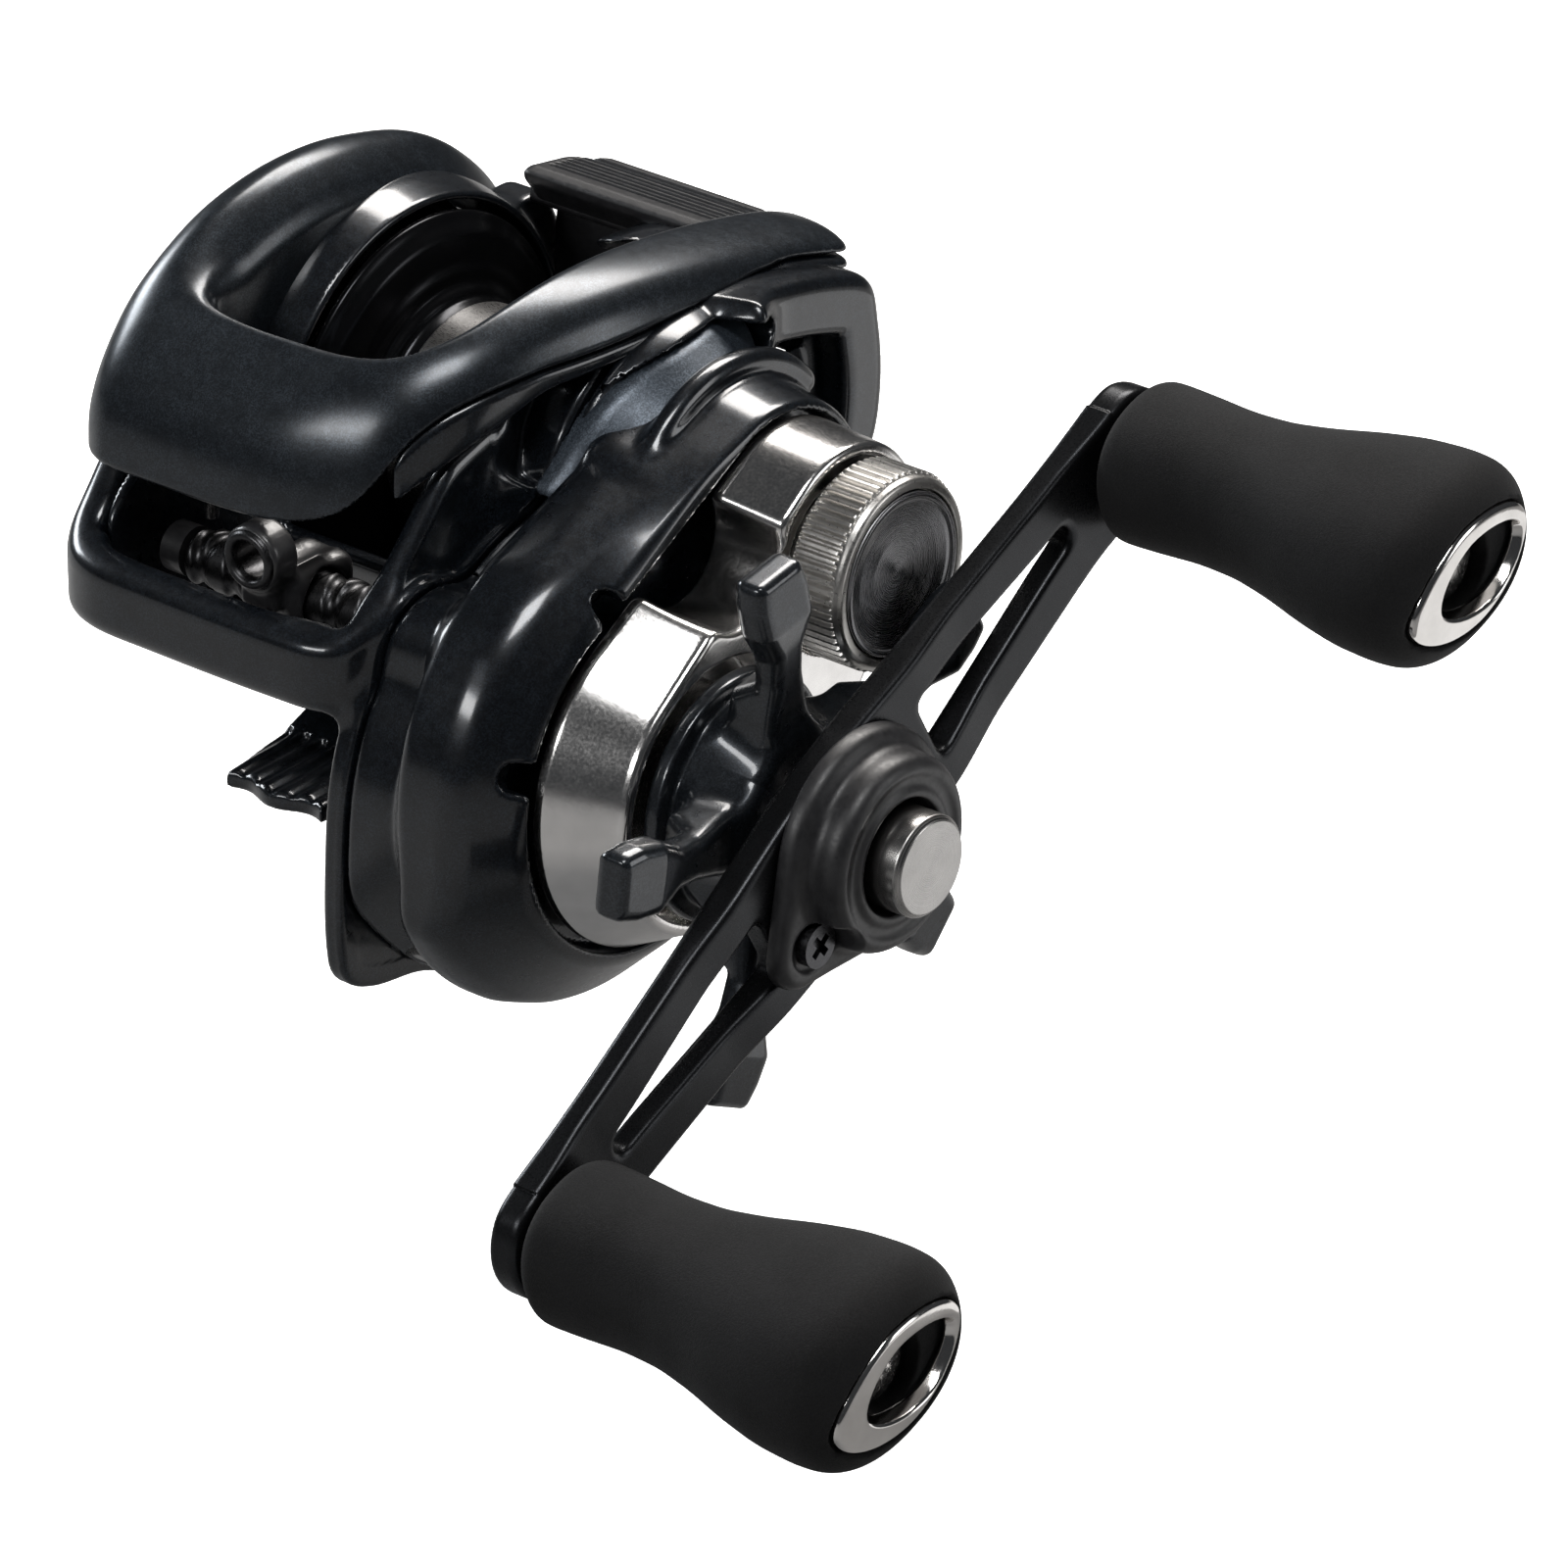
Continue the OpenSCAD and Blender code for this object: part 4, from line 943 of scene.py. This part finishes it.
def cap_field(side):
    """Bright eye-shaped ring let into the end of a knob."""
    centre = knob_centre(side)

    def field(x, y, z):
        u, v = turned_to(y, z, centre, PADDLE)
        s = x - KNOB_END
        dome = s - 0.1 + 0.012 * u * u + 0.02 * v * v
        ring = oval_field(u + EYE[0], v, EYE[1] - 0.15, EYE[2] - 0.15, 1.8)
        d = smax(smax(ring, dome, 0.5), -1.75 - s, 0.3)
        window = smax(oval_field(u - 0.9 + 0.25 * v, v + 0.35, 5.3, 3.1, 1.7), -9 - s, 0.3)
        return smax(d, -(window - 0.35 * np.clip(s + 1.4, 0, 2)), 0.3)

    return field


def build_handle():
    carve("handle_arm_plate", arm_field, (ARM_IN, -62, -45), (ARM_OUT, 30, 15), "handle", "arm_dark", "handle_arm",
          detail=0.8)
    carve("nut_cover", retainer_field, (49.4, -29, -27), (55.3, -5, -4), "handle", "retainer_black", "nut_retainer",
          detail=0.6)
    lathe("nut_face", [(0, 50), (4.4, 50), (4.4, NUT_OUT - 0.45), (3.95, NUT_OUT), (0, NUT_OUT - 0.06)], DRIVE,
          "handle", "nut_silver", "handle_nut", radius=0.12, closed=False)
    carve("star_wheel", star_field, (36.3, -41.5, -41), (46.2, 10, 10.5), "star", "star_black", "star_drag",
          detail=0.75)
    for side, label in ((1, "upper"), (-1, "lower")):
        cy, cz = knob_centre(side)
        body = "knob_" + label
        carve("grip_" + label, knob_field(side), (KNOB_IN, cy - 11, cz - 10), (KNOB_END, cy + 11, cz + 10), body,
              "grip_foam", body)
        carve("end_ring_" + label, cap_field(side), (KNOB_END - 2, cy - 9, cz - 7), (KNOB_END + 0.3, cy + 9, cz + 7),
              body, "plate_chrome", body + "_cap", detail=0.55)


# ---------------- cast control, thumb bar, level wind

KNURLS = 64
KNURL_DEPTH = 0.42
KNURL_FROM_R = 8.45
KNURL_X = (36.6, 41.2)
GRIP = [(6.4, 36.5), (8.25, 36.5), (8.6, 36.8), (8.6, 38.1), (8.6, 39.6), (8.6, 40.9), (8.3, 41.2), (8.15, 41.6),
        (7.9, 41.8), (7.3, 41.8), (7.15, 41.2), (7.2, 40)]
DISH = [(0, 41.15), (3, 41.18), (5, 41.3), (6.1, 41.5), (6.4, 41.62), (6.6, 41.9), (6.95, 41.9), (7.1, 41.7),
        (7.1, 41), (0, 40.8)]


def knurl(angles, r, x):
    """Straight coarse knurl on the grip band of the tension knob."""
    if r < KNURL_FROM_R or not KNURL_X[0] < x < KNURL_X[1]:
        return np.full(len(angles), r)
    wave = np.abs(np.mod(angles * KNURLS / (2 * math.pi), 1) - 0.5) * 2
    return r - KNURL_DEPTH * step(0.3, 0.8, wave)


def build_tension_knob():
    lathe("tension_grip", GRIP, AXIS, "tension_knob", "knob_silver", "tension_knob", segments=768, ripple=knurl,
          radius=0.12)
    lathe("tension_face", DISH, AXIS, "tension_knob", "arm_dark", "tension_disc", closed=False, radius=0.1,
          segments=192)


THUMB = Outline([
    (16.8, 12.4), (23.2, 11.3), (24.1, 12.2), (24.1, 13.4), (23.3, 14.9), (15.8, 16.2), (14.8, 15.9),
    (14.9, 15)], curved=False, pitch=0.25, margin=8)
GROOVES = (7, 17.3, 0.8)  # number, Y of the first and spacing
SKIRT_Y = 19.9
WORM_R = 2.55
WORM_PITCH = 3.6
WORM_END_R = 1.18


def thumb_field(x, y, z):
    d = smax(THUMB(y, z), slab(x, -11.6 + 2.5 * step(20, 24, y), 10.2 - 1.2 * step(20, 24, y)), 1.2)
    top = 0.985 * (z - 15.95) + 0.17 * (y - 16.5)
    count, first, gap = GROOVES
    for i in range(count):
        groove = np.hypot(y - first - i * gap, top) - 0.27
        d = smax(d, -smax(groove, slab(x, -10.2, 8.8), 0.4), 0.2)
    return d


def skirt_field(x, y, z):
    """The curtain under the thumb rest that closes the view between the spool and the rear of the frame."""
    bend = SKIRT_Y + 0.02 * (z - 6) ** 2
    d = smax(slab(x, -11.6, 8.8), np.abs(y - bend) - 0.75, 0.4)
    return smax(d, slab(z, 1.2, 13.4), 0.5)


def worm_field(x, y, z):
    """A worm with grooves of both hands, and a thinner shaft out of each end."""
    dy, dz = y - WORM[0], z - WORM[1]
    r = np.hypot(dy, dz)
    a = np.arctan2(dz, dy)
    d = r - WORM_R
    for hand in (1, -1):
        off = (np.mod(x / WORM_PITCH - hand * a / (2 * math.pi) + 0.5, 1) - 0.5) * WORM_PITCH * 0.95
        groove = np.hypot(off, r - 2.75) - 0.62
        d = smax(d, -groove, 0.25)
    d = smax(d, slab(x, -10.6, 10.4), 0.4)
    return smin(d, smax(r - WORM_END_R, slab(x, -13.2, 18.7), 0.2), 0.2)


def carriage_field(x, y, z):
    """The line guide: a block that runs on the worm and the rod, with a ring on a post."""
    block = smax(smax(np.abs(x) - 2.9, slab(y, -30.5, -22.9), 1.2), slab(z, -10.9, -0.9), 1.6)
    ring = smax(np.hypot(x, z - EYE_Z) - 2.9, slab(y, -33.0, -29.9), 0.7)
    post = smax(smax(np.abs(x) - 1.9, slab(y, -32.3, -26), 0.8), slab(z, -4, EYE_Z - 0.5), 0.8)
    d = smin(smin(block, post, 0.9), ring, 0.8)
    throat = np.hypot(x, z - EYE_Z) - 2.15
    d = smax(d, -throat, 0.35)
    screw = disc(y, z, *WORM, 2.7)
    rod = disc(y, z, *ROD, 1)
    pin = smax(np.hypot(x, y - WORM[0]) - 1.7, z + 9.5, 0.2)
    return smax(smax(smax(d, -screw, 0.3), -rod, 0.2), -pin, 0.3)


def eye_field(x, y, z):
    r = np.hypot(x, z - EYE_Z)
    ring = np.hypot(r - 2.15, (y + 32.75) * 0.8) - 0.5
    sleeve = smax(np.abs(r - 1.85) - 0.24, slab(y, -32.6, -29.7), 0.2)
    return smin(ring, sleeve, 0.25)


def build_small_parts():
    wy, wz = WORM
    carve("thumb_rest", thumb_field, (-11.8, 14.4, 11), (10.4, 24.4, 16.6), "thumb_bar", "thumb_black", "thumb_pad",
          detail=0.55)
    carve("thumb_skirt", skirt_field, (-11.7, 18.9, 1), (9, 22.2, 13.6), "thumb_bar", "thumb_black", detail=0.55)
    carve("worm_screw", worm_field, (-13.3, wy - 2.7, wz - 2.7), (18.8, wy + 2.7, wz + 2.7), "worm", "steel",
          "worm_shaft", detail=0.44)
    carve("guide_carriage", carriage_field, (-3, -33.3, -11), (3, -22.7, 4.2), "line_guide", "carriage_black",
          "line_guide", detail=0.55)
    carve("guide_eye_ring", eye_field, (-2.8, -33.5, EYE_Z - 2.8), (2.8, -29.5, EYE_Z + 2.8), "line_guide", "steel",
          "line_guide_eye", detail=0.33)


# ---------------- spool and palm side

SPOOL_R = 17
SPOOL_END = 10
# One end of the spool from the tip of its flange to the arbor: radius, and distance in from the end.
FLANGE = [(SPOOL_R - 0.1, 0), (SPOOL_R, 0.6), (16.2, 1.1), (15.4, 1.9), (13, 2.5), (12.3, 2.9), (11.4, 3.1),
          (10.9, 3.7), (10.3, 4), (10.1, 4.8)]


def build_spool():
    left = [(r, x - SPOOL_END) for r, x in [(7, 2.6), (15.2, 1.1), (15.7, 0)] + FLANGE]
    right = [(r, -x) for r, x in reversed(left)]
    lathe("spool_body", [(1.3, -4), (7, -4)] + left + [(10, 0)] + right + [(7, 4), (1.3, 4)], AXIS, "spool",
          "spool_dark", "spool", segments=192, radius=0.35)
    lathe("spool_arbor", [(10, -5.2), (10.2, -5), (10.14, 0), (10.2, 5), (10, 5.2)], AXIS, "spool", "steel",
          segments=192, radius=0.1)


PALM_EDGE = Outline([
    (-32.9, -6), (-32.2, -8.6), (-29.6, -10.2), (-24, -13.6), (-16, -17.4), (-8, -19.2), (0, -19.6), (8, -17.6),
    (14, -13.2), (19, -6), (21.6, 1), (21, 6.4), (16, 9.6), (8, 11), (-4, 11), (-14, 8), (-24, 4.4), (-30, 1),
    (-32.4, -2.4)])
PALM_FACE = 27.3
DIAL_R = 7.2
DIAL_SCALLOPS = 24


def palm_field(x, y, z):
    """Palm side plate: a low dome over the brake, with a raised rim round the dial."""
    out = -x
    r = np.hypot(y, z)
    edge = np.minimum(PALM_EDGE(y, z), r - 17.2)
    dome = smax(edge + 0.22 * np.clip(out - 20, 0, 9), 0.36 * np.hypot(y + 1.5, z) + 0.933 * out - 29.2, 3)
    d = smax(dome, out - PALM_FACE, 1.2)
    d = smin(d, smax(np.abs(r - 8.6) - 0.75, slab(out, 24, 27.9), 0.5), 0.6)
    d = smax(d, 16.15 - out, 0.4)
    cap = smax(hood_solid(x, y, z) - 0.15, hood_floor(x, y) - 0.15 - z, 0.4)
    d = smax(d, -smax(cap, 17.2 - r, 0.3), 0.4)
    d = smax(d, -smax(r - 7.65, 25.4 - out, 0.2), 0.3)
    brake = smax(r - 15.6, out - 21.6, 0.4)
    tower = smax(r - 6.6, 18.2 - out, 0.3)
    d = smax(d, -smax(brake, -tower, 0.3), 0.4)
    d = smax(d, -smax(r - 5.05, out - 20.5, 0.2), 0.2)
    return smax(d, -bar_room(x, y, z), 0.3)


def bar_room(x, y, z):
    """The frame's front bar and a little more, kept clear of the palm plate."""
    bar = smax(smax(BELT_OUT(x, y) - 0.2, -BELT_IN(x, y) - 0.2, 0.3), slab(z, BELT_LOW - 0.3, 30), 0.3)
    return smax(bar, y + 14.2, 0.3)


def dial_field(x, y, z):
    out = -x
    r = np.hypot(y, z)
    scallop = 0.0625 * np.cos(np.arctan2(z, y) * DIAL_SCALLOPS)
    grip = smax(r - DIAL_R + scallop, slab(out, 25.6, 28.9), 0.6)
    bar = smax(smax(np.abs(y) - 1.6, np.abs(z) - 6.6, 1.4), slab(out, 28, 30.2), 0.8)
    d = smin(grip, bar, 0.8)
    for side in (4.4, -4.4):
        d = smax(d, -smax(disc(y, z, side, 0, 2.3), 28.2 - out, 0.4), 0.5)
    return smin(d, smax(r - 1.85, slab(out, 23.6, 27), 0.2), 0.2)


def build_palm_side():
    carve("palm_plate", palm_field, (-28.2, -33.5, -20), (-16, 22.5, 17.5), "palm_cover", "body_gloss", "palm_cover")
    carve("dial_knob", dial_field, (-30.4, -7.6, -7.6), (-23.4, 7.6, 7.6), "brake_dial", "arm_dark", "brake_dial",
          detail=0.6)


CAD_FINISH = {
    "brass": ("pinion_gear", "main_gear", "drag_nut", "pawl"),
    "carriage_black": ("worm_bushings",),
    "dark_steel": ("guide_rod",),
    "white_plastic": ("brake_hub", "brake_shoes", "clutch_yoke", "worm_drive_gear", "worm_gear", "idle_gear",
                      "tension_pad"),
    "carbon": ("drag_washer",),
    "thumb_black": ("thumb_bar",),
    "screw_black": ("retainer_screw", "knob_shafts"),
}


def dress_cad_nodes():
    """Gives every CAD node still on show a worked material: steel, unless CAD_FINISH says otherwise."""
    chosen = {node: finish for finish, nodes in CAD_FINISH.items() for node in nodes}
    for name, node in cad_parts.items():
        material = MATERIALS[chosen.get(name, "steel")]
        if not node.data.materials:
            node.data.materials.append(material)
        for i in range(len(node.data.materials)):
            node.data.materials[i] = material


build_shells()
build_handle()
build_tension_knob()
build_small_parts()
build_spool()
build_palm_side()
dress_cad_nodes()

# ---------------- stage, light and camera

FLOOR_GAP = 0.012
FLOOR_HALF = 3
SEEN, UNSEEN = 0.93, 0.22  # the floor's brightness for the camera, and in reflections
ROOM = (0.040, 0.042, 0.045)
WHITE = (1, 1, 1)
BOUNCE_SPOT = (0.19, 0.11, CAD_BOX[0][2] - 0.010)
# name, place, aim, width, height, watts and colour, in metres
SOFTBOXES = (("behind_above", (-0.10, 0.36, 0.52), (0, 0, 0), 0.42, 0.22, 4.7, (1.0, 0.96, 0.92)),
             ("left", (-0.62, -0.02, 0.27), (0, 0, 0), 0.34, 0.16, 2.6, (0.92, 0.96, 1.0)),
             ("front", (-0.06, -0.60, 0.34), (0, 0, 0), 0.34, 0.10, 1.4, WHITE),
             ("right", (0.62, 0.30, 0.20), (0.02, 0, 0), 0.22, 0.34, 0.8, WHITE),
             ("over_front", (0.22, -0.18, 0.62), (0.02, 0, 0), 0.22, 0.18, 1.9, WHITE),
             ("floor_bounce", BOUNCE_SPOT, (*BOUNCE_SPOT[:2], 1), 0.24, 0.22, 0.12, WHITE))
AZIMUTH, ELEVATION, DISTANCE = math.radians(39.1), math.radians(27.4), 0.87
AIM = Vector((36.5, -8.8, -17.4 + LIFT)) * MM
LENS, SENSOR = 244, 36


def softbox(name, spot, aim, wide, high, power, colour):
    light = bpy.data.lights.new(name, "AREA")
    light.shape = "RECTANGLE"
    light.size, light.size_y = wide, high
    light.energy = power
    light.color = colour
    lamp = bpy.data.objects.new(name, light)
    lamp.location = spot
    lamp.rotation_euler = (Vector(aim) - Vector(spot)).to_track_quat("-Z", "Y").to_euler()
    bpy.context.scene.collection.objects.link(lamp)
    return lamp


def make_stage():
    """A pale floor that the camera sees as plain white."""
    h = FLOOR_HALF
    z = CAD_BOX[0][2] - FLOOR_GAP
    mesh = bpy.data.meshes.new("floor")
    mesh.from_pydata([(-h, -h, z), (h, -h, z), (h, h, z), (-h, h, z)], [], [(0, 1, 2, 3)])
    floor = bpy.data.objects.new("floor", mesh)
    bpy.context.scene.collection.objects.link(floor)
    m = Nodes("floor")
    seen = m.add("LightPath").outputs["Is Camera Ray"]
    shade = m.math("MULTIPLY", m.noise(0.02, 3), 0.03)
    m.set(Base_Color=m.math("ADD", m.spread(seen, UNSEEN, SEEN, 0, 1), shade), Roughness=0.75,
          Emission_Color=WHITE, Emission_Strength=m.spread(seen, 0.0, SEEN, 0, 1))
    mesh.materials.append(m.material)


def make_light():
    """A white backdrop for the camera, a dim room for reflections, and softboxes that draw the highlights."""
    world = bpy.data.worlds.new("studio")
    world.use_nodes = True
    tree = world.node_tree
    path = tree.nodes.new("ShaderNodeLightPath")
    room = tree.nodes.new("ShaderNodeMix")
    room.data_type = "RGBA"
    room.inputs[6].default_value = (*ROOM, 1)
    room.inputs[7].default_value = (*WHITE, 1)
    tree.links.new(path.outputs["Is Camera Ray"], room.inputs["Factor"])
    tree.links.new(room.outputs[2], tree.nodes["Background"].inputs[0])
    bpy.context.scene.world = world
    lamps = [softbox(*row) for row in SOFTBOXES]
    lamps[-1].visible_camera = False


def make_camera():
    away = Vector((math.cos(ELEVATION) * math.sin(AZIMUTH), -math.cos(ELEVATION) * math.cos(AZIMUTH),
                   math.sin(ELEVATION)))
    camera = bpy.data.cameras.new("camera")
    camera.lens, camera.sensor_width = LENS, SENSOR
    eye = bpy.data.objects.new("camera", camera)
    eye.location = AIM + away * DISTANCE
    eye.rotation_euler = (-away).to_track_quat("-Z", "Y").to_euler()
    bpy.context.scene.collection.objects.link(eye)
    bpy.context.scene.camera = eye


make_stage()
make_light()
make_camera()
bpy.context.scene.view_settings.view_transform = "Standard"
